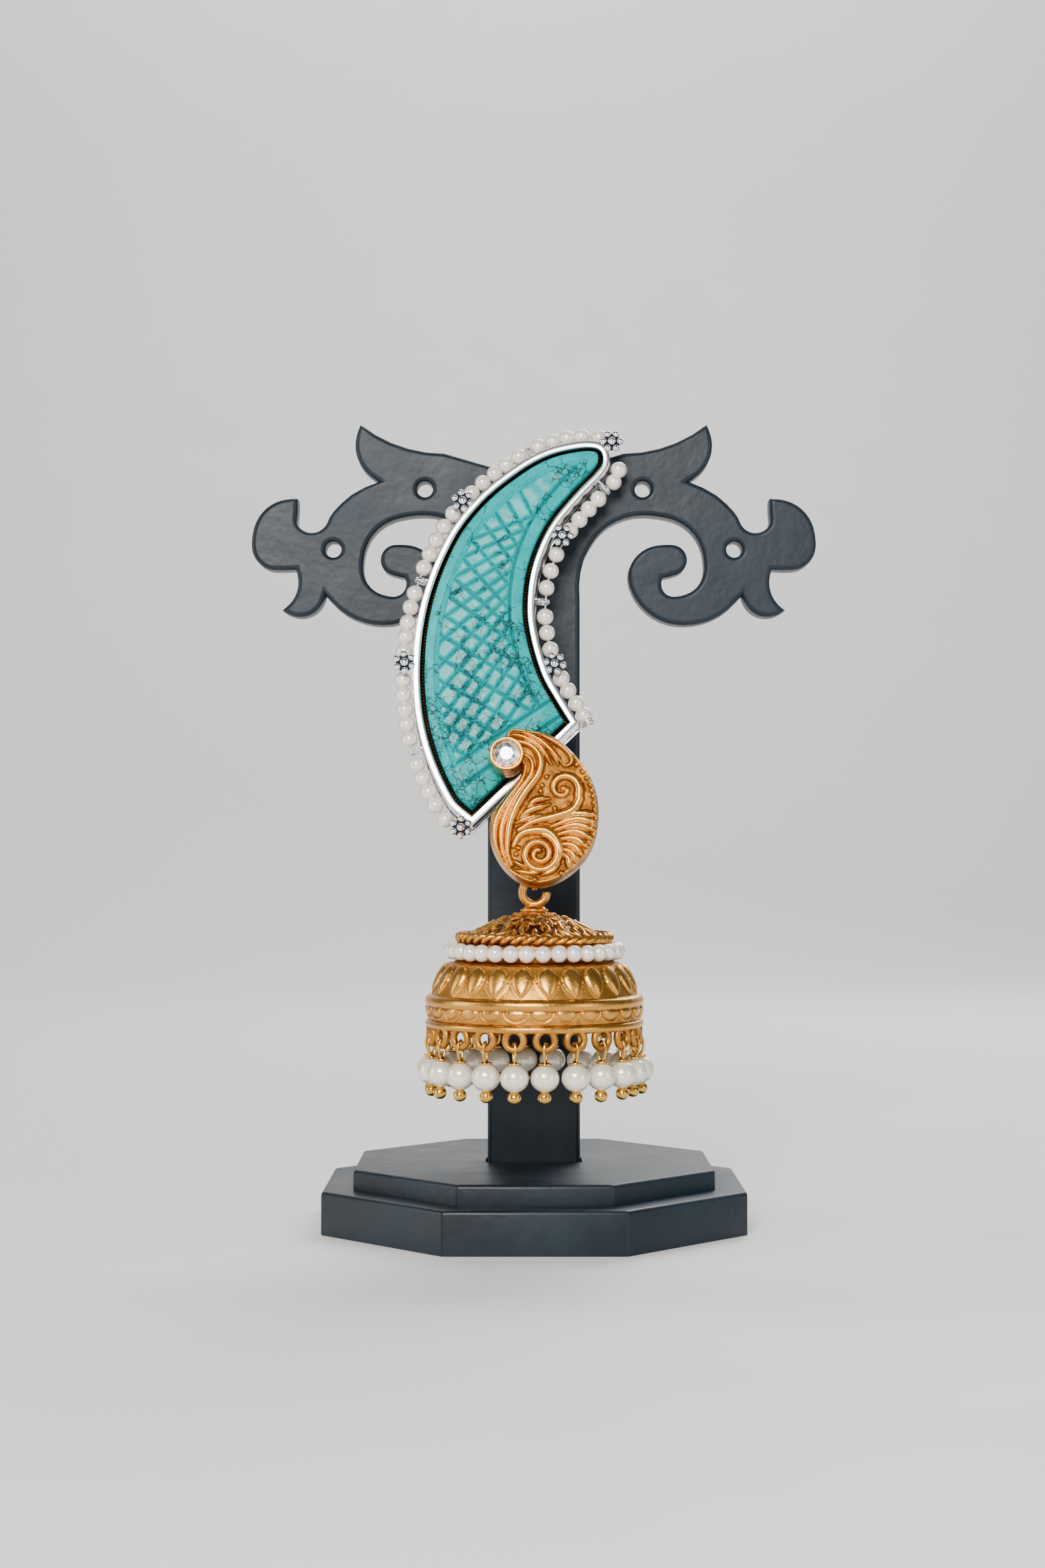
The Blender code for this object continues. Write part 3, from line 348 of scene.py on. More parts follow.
# Places that follow from the sizes and from the frame
TOP_BODY = frame["joints"][0]["parent"]
BELL_BODY = frame["joints"][0]["child"]
PIVOT = Vector(frame["joints"][0]["pos_m"])
BASE_TOP = BASE_TALL + STEP_TALL
STUD_HEIGHT = STAND_TALL - STUD_DROP
RIM_DEPTH = STUD_GAP + BEZEL_DEEP
PAISLEY_BACK = RIM_DEPTH + STONE_PROUD + GAP
PAISLEY_FRONT = PAISLEY_BACK + PAISLEY_DEEP
PAISLEY_LOWEST = -(HORN_LOWEST * HORN_TALL + PAISLEY_HANG)
HOOK_RADIUS = (HOOK_WIDE - HOOK_WIRE) / 2
HOOK_DEPTH = PAISLEY_BACK + HOOK_WIRE / 4 - HOOK_RADIUS
HOOK_HEIGHT = PAISLEY_LOWEST + HOOK_UP
LEAN = asin((-PIVOT.y - PLATE / 2) / hypot(HOOK_DEPTH, HOOK_HEIGHT)) - atan2(HOOK_DEPTH, -HOOK_HEIGHT)
STRING_AWAY = SIDE_PEARL / 2 + SIDE_PEARL_GAP
STRING_DEPTH = STUD_GAP + PEARL_LIFT
GIRDLE = RIM_WIDE + CHANNEL
ACROSS = Vector((1, 0, 0))
OUT = Vector((0, -1, 0))
UP = Vector((0, 0, 1))
EARRING = Matrix.Translation((0, -PLATE / 2, STUD_HEIGHT)) @ Matrix.Rotation(-LEAN, 4, 'X')
BELL = Matrix.Translation(PIVOT)
BAIL_CENTRE = HOOK_WIRE / 2 + LINK_GAP - BAIL_WIDE / 2 + BAIL_WIRE
COLLAR_TOP = BAIL_CENTRE - BAIL_WIDE / 2 + BAIL_WIRE / 3
DOME_TOP = COLLAR_TOP - COLLAR_TALL
DOME_FOOT = DOME_TOP - DOME_TALL
DOME_RADIUS = RING_WIDE / 2 - RING_PEARL / 2 - GAP
RING_HEIGHT = DOME_FOOT - ROPE_WIDE / 2 - RING_PEARL / 4
LEDGE_HEIGHT = RING_HEIGHT - RING_PEARL / 2 - GAP
SKIRT_FOOT = LEDGE_HEIGHT - SKIRT_TALL
HEM = SKIRT_FOOT - 2 * BAND_TALL - FRIEZE_TALL
FRIEZE_TOP = SKIRT_FOOT - UPPER_BAND_TALL
HEM_BAND_TOP = HEM - HEM_LOWER + HEM_BAND_TALL
FRIEZE_HIGH = FRIEZE_TOP - HEM_BAND_TOP
RIM_LOOP_RADIUS = (RIM_LOOP - RIM_LOOP_WIRE) / 2
RIM_LOOP_HEIGHT = HEM + RIM_LOOP_SUNK - RIM_LOOP / 2
EYE_HEIGHT = RIM_LOOP_HEIGHT - RIM_LOOP_RADIUS
EYE_RADIUS = RIM_LOOP_WIRE / 2 + GAP + CAD_EYE_WIRE / 2
DROP_CENTRE = -EYE_RADIUS - CAD_EYE_WIRE / 2 - DROP_STEM - DROP_PEARL / 2


# ---------------------------------------------------------------- materials
class Finish:
    """A Principled material put together node by node."""

    def __init__(self, name, **sockets):
        self.material = bpy.data.materials.new(name)
        self.material.use_nodes = True
        self.tree = self.material.node_tree
        self.shader = self.tree.nodes["Principled BSDF"]
        for socket, value in sockets.items():
            self.feed(self.shader.inputs[socket.replace("_", " ")], value)
        self.place = self.node("ShaderNodeTexCoord").outputs["Object"]

    def feed(self, socket, value):
        if isinstance(value, bpy.types.NodeSocket):
            self.tree.links.new(value, socket)
        else:
            socket.default_value = value

    def node(self, kind, inputs=None, **settings):
        made = self.tree.nodes.new(kind)
        for key, value in settings.items():
            setattr(made, key, value)
        for key, value in (inputs or {}).items():
            self.feed(made.inputs[key], value)
        return made

    def noise(self, scale, detail=3.0, rough=0.5):
        inputs = {"Vector": self.place, "Scale": scale, "Detail": detail, "Roughness": rough}
        return self.node("ShaderNodeTexNoise", inputs).outputs["Fac"]

    def cracks(self, scale, vector):
        inputs = {"Vector": vector, "Scale": scale}
        return self.node("ShaderNodeTexVoronoi", inputs, feature='DISTANCE_TO_EDGE').outputs["Distance"]

    def span(self, value, low, high, to_low=0.0, to_high=1.0):
        inputs = {"Value": value, "From Min": low, "From Max": high, "To Min": to_low, "To Max": to_high}
        return self.node("ShaderNodeMapRange", inputs, interpolation_type='SMOOTHSTEP').outputs["Result"]

    def maths(self, operation, first, second):
        return self.node("ShaderNodeMath", {0: first, 1: second}, operation=operation).outputs[0]

    def move(self, operation, first, second):
        return self.node("ShaderNodeVectorMath", {0: first, 1: second}, operation=operation).outputs[0]

    def mix(self, share, first, second):
        inputs = {0: share, 6: first, 7: second}
        return self.node("ShaderNodeMix", inputs, data_type='RGBA').outputs[2]

    def bump(self, height, distance, strength=1.0, under=None):
        inputs = {"Height": height, "Distance": distance, "Strength": strength}
        if under:
            inputs["Normal"] = under
        return self.node("ShaderNodeBump", inputs).outputs["Normal"]

    def attribute(self, name):
        return self.node("ShaderNodeAttribute", attribute_name=name).outputs["Fac"]

    def set(self, socket, value):
        self.feed(self.shader.inputs[socket], value)


def rgb(red, green, blue):
    return (red, green, blue, 1)


def gold_finish(name, face, recess, gloss):
    """Matte cast gold, its colour led by the 'height' attribute: darker and grainy in the recesses, partly
    an antique finish and partly painted shade, and lighter on the ridges with a painted highlight.
    """
    made = Finish(name, Metallic=1.0)
    height = made.attribute("height")
    patches = made.noise(420, 5, 0.6)
    grain = made.noise(6500, 2, 0.6)
    # Height with random worn patches: low values give painted shade along with the antique darkening, high
    # ones a painted highlight.
    lit_and_worn = made.maths('ADD', height, made.span(patches, 0.3, 0.7, -0.14, 0.14))
    low = made.mix(made.span(grain, 0.4, 0.62), recess, rgb(*(c * 0.5 for c in recess[:3])))
    colour = made.mix(made.span(lit_and_worn, 0.02, 0.5), low, face)
    ridge_share = made.span(lit_and_worn, 0.62, 1.05, 0.0, 0.35)
    # The lighter orange on the ridges is a painted highlight.
    made.set("Base Color", made.mix(ridge_share, colour, rgb(0.88, 0.47, 0.11)))
    polish = made.span(lit_and_worn, 0.1, 0.9, gloss + 0.16, gloss)
    made.set("Roughness", made.maths('ADD', polish, made.span(patches, 0.2, 0.8, -0.05, 0.07)))
    fine = made.bump(grain, 0.04 * MM, 0.6)
    made.set("Normal", made.bump(patches, 0.12 * MM, 0.3, fine))
    return made.material


def silver_finish():
    """Polished silver, black in the low places: partly oxide and partly painted shade, led by the 'height'
    attribute.
    """
    made = Finish("oxidised_silver", Metallic=1.0)
    height = made.attribute("height")
    wear = made.noise(900, 6, 0.62)
    pits = made.noise(3800, 3, 0.6)
    shown = made.maths('ADD', height, made.span(wear, 0.25, 0.75, -0.2, 0.12))
    clean = made.mix(made.span(pits, 0.60, 0.72), rgb(0.98, 0.98, 0.99), rgb(0.55, 0.57, 0.62))
    # Low heights take near black, oxide together with painted shade.
    made.set("Base Color", made.mix(made.span(shown, 0.3, 0.66), rgb(0.010, 0.012, 0.020), clean))
    made.set("Roughness", made.span(shown, 0.2, 0.9, 0.46, 0.17))
    made.set("Normal", made.bump(wear, 0.05 * MM, 0.16, made.bump(pits, 0.01 * MM, 0.2)))
    return made.material


def turquoise_finish():
    """Turquoise with a dark web matrix that is denser towards the foot."""
    made = Finish("turquoise", Coat_Roughness=0.12, Specular_IOR_Level=0.08)
    warp = made.node("ShaderNodeTexNoise", {"Vector": made.place, "Scale": 900, "Detail": 4})
    bent = made.move('MULTIPLY', warp.outputs["Color"], (1.1 * MM, 1.1 * MM, 1.1 * MM))
    place = made.move('ADD', made.place, bent)
    cloud = made.noise(260, 2, 0.5)
    tall = made.node("ShaderNodeSeparateXYZ", {"Vector": made.place}).outputs["Z"]
    low_down = made.span(tall, 104 * MM, 58 * MM, -0.08, 0.10)
    dense = made.maths('ADD', cloud, low_down)
    webs = None
    for scale, thick, start in ((480, 0.034, 0.41), (900, 0.05, 0.49), (1700, 0.07, 0.55)):
        line = made.span(made.cracks(scale, place), thick, thick * 0.25)
        shown = made.maths('MULTIPLY', line, made.span(dense, start, start + 0.06))
        webs = shown if webs is None else made.maths('MAXIMUM', webs, shown)
    spots = made.span(made.noise(1500, 5, 0.7), 0.66, 0.70)
    stain = made.maths('MULTIPLY', spots, made.span(dense, 0.56, 0.64))
    matrix = made.maths('MAXIMUM', webs, made.maths('MULTIPLY', stain, 0.3))
    tone = made.span(made.noise(330, 5, 0.6), 0.3, 0.7)
    body = made.mix(tone, rgb(0.0, 0.27, 0.28), rgb(0.0, 0.40, 0.40))
    body = made.mix(made.span(made.noise(2600, 4, 0.6), 0.4, 0.75, 0.0, 0.5), body, rgb(0.0, 0.50, 0.47))
    # Low heights in the grooves and cuts take a darker teal: painted shade.
    body = made.mix(made.span(made.attribute("height"), 0.8, 0.1, 0.0, 0.8), body, rgb(0.0, 0.14, 0.15))
    made.set("Base Color", made.mix(made.maths('MULTIPLY', matrix, 0.93), body, rgb(0.012, 0.018, 0.02)))
    made.set("Coat Weight", made.span(made.attribute("height"), 0.9, 0.98, 0.02, 0.26))
    made.set("Roughness", made.span(made.noise(1100, 4, 0.6), 0.3, 0.7, 0.26, 0.4))
    sunk = made.bump(made.maths('MULTIPLY', matrix, -1.0), 0.03 * MM, 0.6)
    made.set("Normal", made.bump(made.noise(1800, 4, 0.6), 0.02 * MM, 0.5, sunk))
    return made.material


def pearl_finish(name, tint):
    """Cream pearl: a soft body under a clear, slightly uneven nacre, its edges darkened with painted
    shade.
    """
    made = Finish(name, Metallic=0.15, Coat_Weight=1.0, Coat_Roughness=0.13, Coat_IOR=2.1)
    cloud = made.noise(380, 4, 0.55)
    facing = made.node("ShaderNodeLayerWeight", {"Blend": 0.3}).outputs["Facing"]
    deeper = rgb(*(c * f for c, f in zip(tint, (0.95, 0.93, 0.88))))
    body = made.mix(made.span(cloud, 0.3, 0.7), tint, deeper)
    # Towards the silhouette the colour turns dark brown: painted shade at the pearl's edges.
    made.set("Base Color", made.mix(made.maths('MULTIPLY', facing, 0.62), body, rgb(0.44, 0.35, 0.25)))
    made.set("Roughness", made.span(cloud, 0.3, 0.7, 0.22, 0.32))
    made.set("Normal", made.bump(made.noise(2200, 3, 0.5), 0.01 * MM, 0.4))
    return made.material


def plastic_finish():
    """Black moulded plastic with a satin skin, faint flow marks and dust."""
    made = Finish("black_plastic", Specular_IOR_Level=0.36)
    flow = made.noise(55, 5, 0.6)
    skin_grain = made.noise(5200, 2, 0.5)
    dust = made.span(made.noise(2400, 5, 0.75), 0.66, 0.74, 0.0, 0.25)
    base = made.mix(made.span(flow, 0.3, 0.7), rgb(0.003, 0.0080, 0.0135), rgb(0.006, 0.0155, 0.0255))
    made.set("Base Color", made.mix(dust, base, rgb(0.035, 0.04, 0.045)))
    made.set("Roughness", made.span(flow, 0.25, 0.75, 0.36, 0.5))
    made.set("Normal", made.bump(flow, 1.2 * MM, 0.35, made.bump(skin_grain, 0.01 * MM, 0.5)))
    return made.material


def crystal_finish():
    """Clear stone over foil. Each facet is painted lighter or darker by its 'facet' attribute: painted
    reflections for facets that throw back the light.
    """
    made = Finish("crystal", Metallic=0.8, Coat_Weight=1.0, Coat_Roughness=0.02)
    cloud = made.noise(1700, 3, 0.6)
    facet = made.maths('ADD', made.attribute("facet"), made.span(cloud, 0.3, 0.7, -0.1, 0.1))
    # Per-facet brightness from white to grey: painted reflections.
    made.set("Base Color", made.mix(made.span(facet, 0.1, 0.9), rgb(1.0, 1.0, 1.0), rgb(0.34, 0.35, 0.38)))
    made.set("Roughness", made.span(facet, 0.0, 1.0, 0.34, 0.12))
    return made.material


def foil_finish():
    made = Finish("mirror_foil", Metallic=1.0)
    wrinkle = made.noise(2600, 3, 0.6)
    made.set("Base Color", made.mix(wrinkle, rgb(1.0, 1.0, 1.0), rgb(0.88, 0.89, 0.92)))
    made.set("Roughness", made.span(wrinkle, 0.3, 0.7, 0.30, 0.5))
    made.set("Normal", made.bump(wrinkle, 0.05 * MM, 0.6))
    return made.material


def thread_finish():
    made = Finish("string_wire", Metallic=1.0)
    made.set("Base Color", made.mix(made.noise(3000), rgb(0.72, 0.70, 0.66), rgb(0.42, 0.40, 0.38)))
    made.set("Roughness", made.span(made.noise(2500), 0.3, 0.7, 0.3, 0.45))
    return made.material


def floor_finish():
    made = Finish("pale_floor")
    made.set("Base Color", made.mix(made.noise(6, 3), rgb(0.83, 0.825, 0.815), rgb(0.86, 0.855, 0.845)))
    made.set("Roughness", made.span(made.noise(40, 3), 0.3, 0.7, 0.55, 0.7))
    return made.material


# ---------------------------------------------------------------- mesh helpers
def front(point, depth):
    """A point of the earring's face plane at a depth out from the stand."""
    return Vector((point[0], -depth, point[1]))


def placed(name, data):
    """An object of this data, linked to the scene."""
    made = bpy.data.objects.new(name, data)
    bpy.context.scene.collection.objects.link(made)
    return made


def mesh_from(name, source):
    """The mesh of a bmesh, which is used up."""
    mesh = bpy.data.meshes.new(name)
    source.to_mesh(mesh)
    source.free()
    return mesh


def settled(made, *helpers):
    """A bmesh of an object with its modifiers or curve settings applied. The objects go."""
    applied = made.evaluated_get(bpy.context.evaluated_depsgraph_get())
    shape = bmesh.new()
    shape.from_mesh(bpy.data.meshes.new_from_object(applied))
    for helper in (made, *helpers):
        bpy.data.objects.remove(helper, do_unlink=True)
    return shape


def piece(name, source, finish, body, slot, nodes=(), frame_matrix=Matrix(), height=0.75, sharp=None):
    """A mesh piece in the row frame that rides on a body and may stand for CAD nodes."""
    heights = None
    if not isinstance(source, bmesh.types.BMesh):
        points, faces, heights = source
        raw = bpy.data.meshes.new(name)
        raw.from_pydata([tuple(p) for p in points], [], faces)
        source = bmesh.new()
        source.from_mesh(raw)
        bpy.data.meshes.remove(raw)
    bmesh.ops.recalc_face_normals(source, faces=source.faces)
    mesh = mesh_from(name, source)
    mesh.transform(frame_matrix)
    mesh.shade_smooth()
    if sharp is not None:
        mesh.set_sharp_from_angle(angle=radians(sharp))
    values = np.full(len(mesh.vertices), height) if heights is None else heights
    shades = mesh.attributes.new("height", 'FLOAT', 'POINT')
    shades.data.foreach_set("value", np.asarray(values, np.float32))
    mesh.materials.append(finish)
    made = placed(name, mesh)
    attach(made, body)
    if nodes:
        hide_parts(*nodes)
    return made


def top_piece(name, source, finish, slot, *nodes, **looks):
    """A piece of the earring's top, given in the earring's own frame."""
    return piece(name, source, finish, TOP_BODY, slot, nodes, EARRING, **looks)


def bell_piece(name, source, finish, slot, *nodes, **looks):
    """A piece of the bell, given from its hinge."""
    return piece(name, source, finish, BELL_BODY, slot, nodes, BELL, **looks)


def skin(mesh, rings, close=False):
    """Faces between successive rings of equal length, with flat caps unless closed."""
    loops = [[mesh.verts.new(point) for point in ring] for ring in rings]
    pairs = list(zip(loops, loops[1:]))
    if close:
        pairs.append((loops[-1], loops[0]))
    else:
        mesh.faces.new(loops[0])
        mesh.faces.new(loops[-1])
    for first, second in pairs:
        for i in range(len(first)):
            mesh.faces.new((first[i - 1], first[i], second[i], second[i - 1]))


def polar(radius, angle, height=0.0):
    return Vector((radius * cos(angle), radius * sin(angle), height))


def lathe(mesh, profile, sides, matrix=Matrix()):
    """Turn (radius, height) rows round Z. A radius of zero closes an end in a point."""
    rows = []
    for radius, height in profile:
        angles = [2 * pi * i / sides for i in range(sides if radius > 0 else 1)]
        rows.append([mesh.verts.new(matrix @ polar(radius, a, height)) for a in angles])
    for upper, lower in zip(rows, rows[1:]):
        for i in range(sides):
            if len(upper) == 1:
                mesh.faces.new([upper[0], lower[i], lower[i - 1]])
            elif len(lower) == 1:
                mesh.faces.new([upper[i - 1], upper[i], lower[0]])
            else:
                mesh.faces.new([upper[i - 1], upper[i], lower[i], lower[i - 1]])
    for end in (rows[0], rows[-1]):
        if len(end) > 1:
            mesh.faces.new(end)


def grid_faces(rows, count):
    """Faces between successive closed rows of points, with a flat cap at each end."""
    faces = []
    for start in range(0, (rows - 1) * count, count):
        for i in range(count):
            j = (i + 1) % count
            faces.append((start + i, start + j, start + count + j, start + count + i))
    return faces + [tuple(range(count)), tuple(range((rows - 1) * count, rows * count))]


def ball(mesh, centre, radius, axis=UP, along_axis=1.0, segments=16, rings=10):
    """A round bead, its poles on an axis."""
    turn = axis.normalized().to_track_quat('Z', 'X').to_matrix().to_4x4()
    matrix = Matrix.Translation(centre) @ turn @ Matrix.Diagonal((1, 1, along_axis, 1))
    bmesh.ops.create_uvsphere(mesh, u_segments=segments, v_segments=rings, radius=radius, matrix=matrix)


def tube(mesh, points, radius, sides=10, closed=False, swell=None):
    """A round wire along 3D points. swell gives its thickness at a share of the way."""
    count = len(points)
    rings = []
    side = None
    for i, here in enumerate(points):
        back = points[i - 1] if closed or i > 0 else here
        ahead = points[(i + 1) % count] if closed or i + 1 < count else here
        way = (ahead - back).normalized()
        if side is None:
            side = way.orthogonal().normalized()
        side = (side - way * side.dot(way)).normalized()
        other = way.cross(side)
        thick = radius * (swell(i / max(1, count - 1)) if swell else 1)
        rings.append([here + (side * cos(2 * pi * j / sides) + other * sin(2 * pi * j / sides)) * thick
                      for j in range(sides)])
    skin(mesh, rings, close=closed)


def circle(place, across, up, radius, steps, start=0.0, sweep=2 * pi):
    """Points of a circle, or of an arc with both ends, in the plane of two unit directions."""
    whole = sweep > 2 * pi - 0.001
    angles = [start + sweep * i / steps for i in range(steps if whole else steps + 1)]
    return [place + (across * cos(a) + up * sin(a)) * radius for a in angles]


def smooth_line(points, steps, closed=False):
    """Points along one smooth curve through the given 2D points."""
    count = len(points)
    spans = count if closed else count - 1
    line = []
    for i in range(spans):
        start = points[i]
        end = points[(i + 1) % count]
        before = points[i - 1] if closed or i > 0 else start
        after = points[(i + 2) % count] if closed or i + 2 < count else end
        reach = (end - start).length
        leave = (end - before).normalized() * reach
        arrive = (after - start).normalized() * reach
        for step in range(steps):
            t = step / steps
            line.append(start * (2 * t ** 3 - 3 * t ** 2 + 1) + leave * (t ** 3 - 2 * t ** 2 + t)
                        + end * (3 * t ** 2 - 2 * t ** 3) + arrive * (t ** 3 - t ** 2))
    if not closed:
        line.append(points[-1])
    return line


def arc_points(start, through, end):
    """Points after the start along the circle through three 2D points."""
    first = through - start
    second = end - start
    cross = 2 * first.cross(second)
    if abs(cross) < 1e-12:
        return [through, end]
    centre = start + Vector((second.y * first.length_squared - first.y * second.length_squared,
                             first.x * second.length_squared - second.x * first.length_squared)) / cross
    begin = start - centre
    turn = begin.angle_signed(end - centre) * -1
    middle = begin.angle_signed(through - centre) * -1
    if turn * middle < 0 or abs(middle) > abs(turn):
        turn -= 2 * pi * (1 if turn > 0 else -1)
    count = max(1, ceil(abs(turn) / ARC_STEP))
    return [centre + Matrix.Rotation(turn * i / count, 2) @ begin for i in range(1, count + 1)]


def offset_outline(points, grow):
    """A closed counter-clockwise outline moved outwards by a distance."""
    moved = []
    for i, here in enumerate(points):
        back = (here - points[i - 1]).normalized()
        ahead = (points[(i + 1) % len(points)] - here).normalized()
        normal_back = Vector((back.y, -back.x))
        normal_ahead = Vector((ahead.y, -ahead.x))
        moved.append(here + (normal_back + normal_ahead) * grow / (1 + normal_back.dot(normal_ahead)))
    return moved


def along(line, share):
    """Place and direction at a share of the length of a line of 2D points."""
    lengths = [(b - a).length for a, b in zip(line, line[1:])]
    left = share * sum(lengths)
    for i, length in enumerate(lengths):
        if left <= length or i == len(lengths) - 1:
            way = (line[i + 1] - line[i]).normalized()
            return line[i] + way * left, way
        left -= length


def as_array(line):
    return np.array([tuple(point) for point in line])


def finer(outline, spacing):
    """The same closed outline with its long steps divided."""
    made = []
    for start, end in zip(outline, outline[1:] + outline[:1]):
        count = max(1, round((end - start).length / spacing))
        made += [start.lerp(end, i / count) for i in range(count)]
    return made


def line_length(line):
    return sum((b - a).length for a, b in zip(line, line[1:]))


def inside(points, outline):
    """Which of the points lie inside a closed outline."""
    x = points[:, 0]
    y = points[:, 1]
    odd = np.zeros(len(points), bool)
    for (ax, ay), (bx, by) in zip(outline, np.roll(outline, -1, axis=0)):
        if ay != by:
            odd ^= ((ay > y) != (by > y)) & (x < (bx - ax) * (y - ay) / (by - ay) + ax)
    return odd


def distance(points, line):
    """Distance from each point to a line of points, and the share of its length there."""
    steps = np.diff(line, axis=0)
    lengths = np.hypot(*steps.T)
    total = lengths.sum()
    best = np.full(len(points), np.inf)
    share = np.zeros(len(points))
    begun = 0.0
    for start, step, length in zip(line, steps, lengths):
        if length > 0:
            t = np.clip(((points - start) @ step) / length ** 2, 0, 1)
            gap = np.hypot(*(points - start - t[:, None] * step).T)
            nearer = gap < best
            best[nearer] = gap[nearer]
            share[nearer] = (begun + t[nearer] * length) / total
        begun += length
    return best, share


def loop_distance(points, outline):
    """Distance from each point to a closed outline."""
    loop = as_array(outline)
    return distance(points, np.vstack((loop, loop[:1])))[0]


def bulge(reach):
    """Height of a unit circle at a distance from its middle, and zero outside."""
    return np.sqrt(np.clip(1 - reach ** 2, 0, 1))


def edge_drop(edge, size):
    """How far a rounded edge has fallen at a distance in from the outline."""
    return size * (1 - bulge(1 - np.clip(edge / size, 0, 1)))


def ridge(raised, points, line, wide, tall, swell=(0.4, 0.9, 1, 0.9, 0.4)):
    """Raise a rounded rib along a line on a field of heights. swell shares out its width."""
    gap, share = distance(points, as_array(line))
    taper = np.interp(share, np.linspace(0, 1, len(swell)), swell)
    bump = tall * taper ** 0.6 * np.clip(1 - (gap / (wide / 2 * taper)) ** 2, 0, 1) ** 0.62
    return np.maximum(raised, bump)


def relief(outline, spacing, face, back):
    """A closed plate whose front follows a function of the plane. Gives points, faces, heights."""
    edge = as_array(finer(outline, spacing))
    low = edge.min(0)
    high = edge.max(0)
    rows = np.arange(low[1], high[1], spacing * 0.87)
    columns = np.arange(low[0], high[0], spacing)
    grid = np.array([(x + spacing / 2 * (j % 2), y) for j, y in enumerate(rows) for x in columns])
    grid = grid[inside(grid, edge)]
    grid = grid[loop_distance(grid, edge) > spacing * 0.6]
    flat = np.vstack((edge, grid))
    count = len(edge)
    border = [(i, (i + 1) % count) for i in range(count)]
    made = delaunay_2d_cdt([Vector(p) for p in flat / MM], border, [], 1, 1e-5, False)
    depths, heights = face(flat)
    points = np.column_stack((flat[:, 0], -depths, flat[:, 1]))
    behind = np.column_stack((edge[:, 0], np.full(count, -back), edge[:, 1]))
    first = len(points)
    corners = np.array(made[2])
    faces = [tuple(f) for f in corners[inside(flat[corners].mean(1), edge)]]
    faces += [(i, (i + 1) % count, first + (i + 1) % count, first + i) for i in range(count)]
    faces.append(tuple(range(first, first + count)))
    return np.vstack((points, behind)), faces, np.concatenate((heights, np.full(count, 0.45)))


# ---------------------------------------------------------------- stand
def rounded_octagon(flats, height):
    """An octagon with slightly rounded corners."""
    corner = flats / 2 / cos(pi / 8) - BASE_ROUND * (1 / cos(pi / 8) - 1) - BASE_ROUND
    ring = []
    for i in range(8):
        a = pi / 8 + i * pi / 4
        for b in (a + k * pi / 8 for k in (-1, 0, 1)):
            x = corner * cos(a) + BASE_ROUND * cos(b)
            ring.append(Vector((x, corner * sin(a) + BASE_ROUND * sin(b), height)))
    return ring


def base_tier(flats, low, high):
    """Rings of one tier, with its upper edge rounded."""
    rings = [rounded_octagon(flats, low)]
    for i in range(5):
        a = pi / 2 * i / 4
        drop = BASE_ROUND * (1 - sin(a))
        inset = BASE_ROUND * (1 - cos(a))
        rings.append(rounded_octagon(flats - 2 * inset, high - drop))
    return rings


def stand_base(finish):
    """The two-step foot, with a nub low on its front and the slot that takes the upright."""
    mesh = bmesh.new()
    skin(mesh, base_tier(BASE_FLATS, 0, BASE_TALL) + base_tier(STEP_FLATS, BASE_TALL, BASE_TOP))
    nub_place = Matrix.Translation((0, -BASE_FLATS / 2 + NUB_WIDE * 0.06, NUB_WIDE * 0.55))
    nub = nub_place @ Matrix.Diagonal((1, 0.28, 0.8, 1))
    bmesh.ops.create_uvsphere(mesh, u_segments=20, v_segments=12, radius=NUB_WIDE / 2, matrix=nub)
    bmesh.ops.recalc_face_normals(mesh, faces=mesh.faces)
    whole = placed("base_whole", mesh_from("base_whole", mesh))
    slot = bmesh.new()
    size = Matrix.Diagonal((POST_WIDE + 2 * GAP, PLATE + 2 * GAP, 2 * (SLOT_DEEP + GAP), 1))
    bmesh.ops.create_cube(slot, size=1, matrix=Matrix.Translation((0, 0, BASE_TOP)) @ size)
    cutter = placed("slot", mesh_from("slot", slot))
    step = whole.modifiers.new("slot", 'BOOLEAN')
    step.operation = 'DIFFERENCE'
    step.solver = 'EXACT'
    step.object = cutter
    foot = settled(whole, cutter)
    piece("stand_foot", foot, finish, TOP_BODY, "black_plastic", ("stand_base",), sharp=35)


def arm_outline():
    """Right half of the upright's outline, from the middle of its top to its foot."""
    edge = POST_WIDE / 2
    reach = ARM_SPAN / 2 - edge
    line = [Vector((0, STAND_TALL - ARM_TOP_MIDDLE * ARM_TALL))]
    for via_across, via_down, end_across, end_down in ARM_ARCS:
        through = Vector((edge + via_across * reach, STAND_TALL - via_down * ARM_TALL))
        end = Vector((edge + end_across * reach, STAND_TALL - end_down * ARM_TALL))
        line += arc_points(line[-1], through, end)
    line.append(Vector((edge, BASE_TOP - SLOT_DEEP)))
    return eased(line)


def eased(line):
    """Smooth the slight kinks between arcs and leave the true corners as they are."""
    for _ in range(EASE_PASSES):
        middle = []
        for before, here, after in zip(line, line[1:], line[2:]):
            slight = (here - before).angle(after - here, 0) < EASE_TURN
            near = (after - before).length < EASE_REACH
            middle.append(here.lerp((before + after) / 2, 0.5) if slight and near else here)
        line = [line[0]] + middle + [line[-1]]
    return line


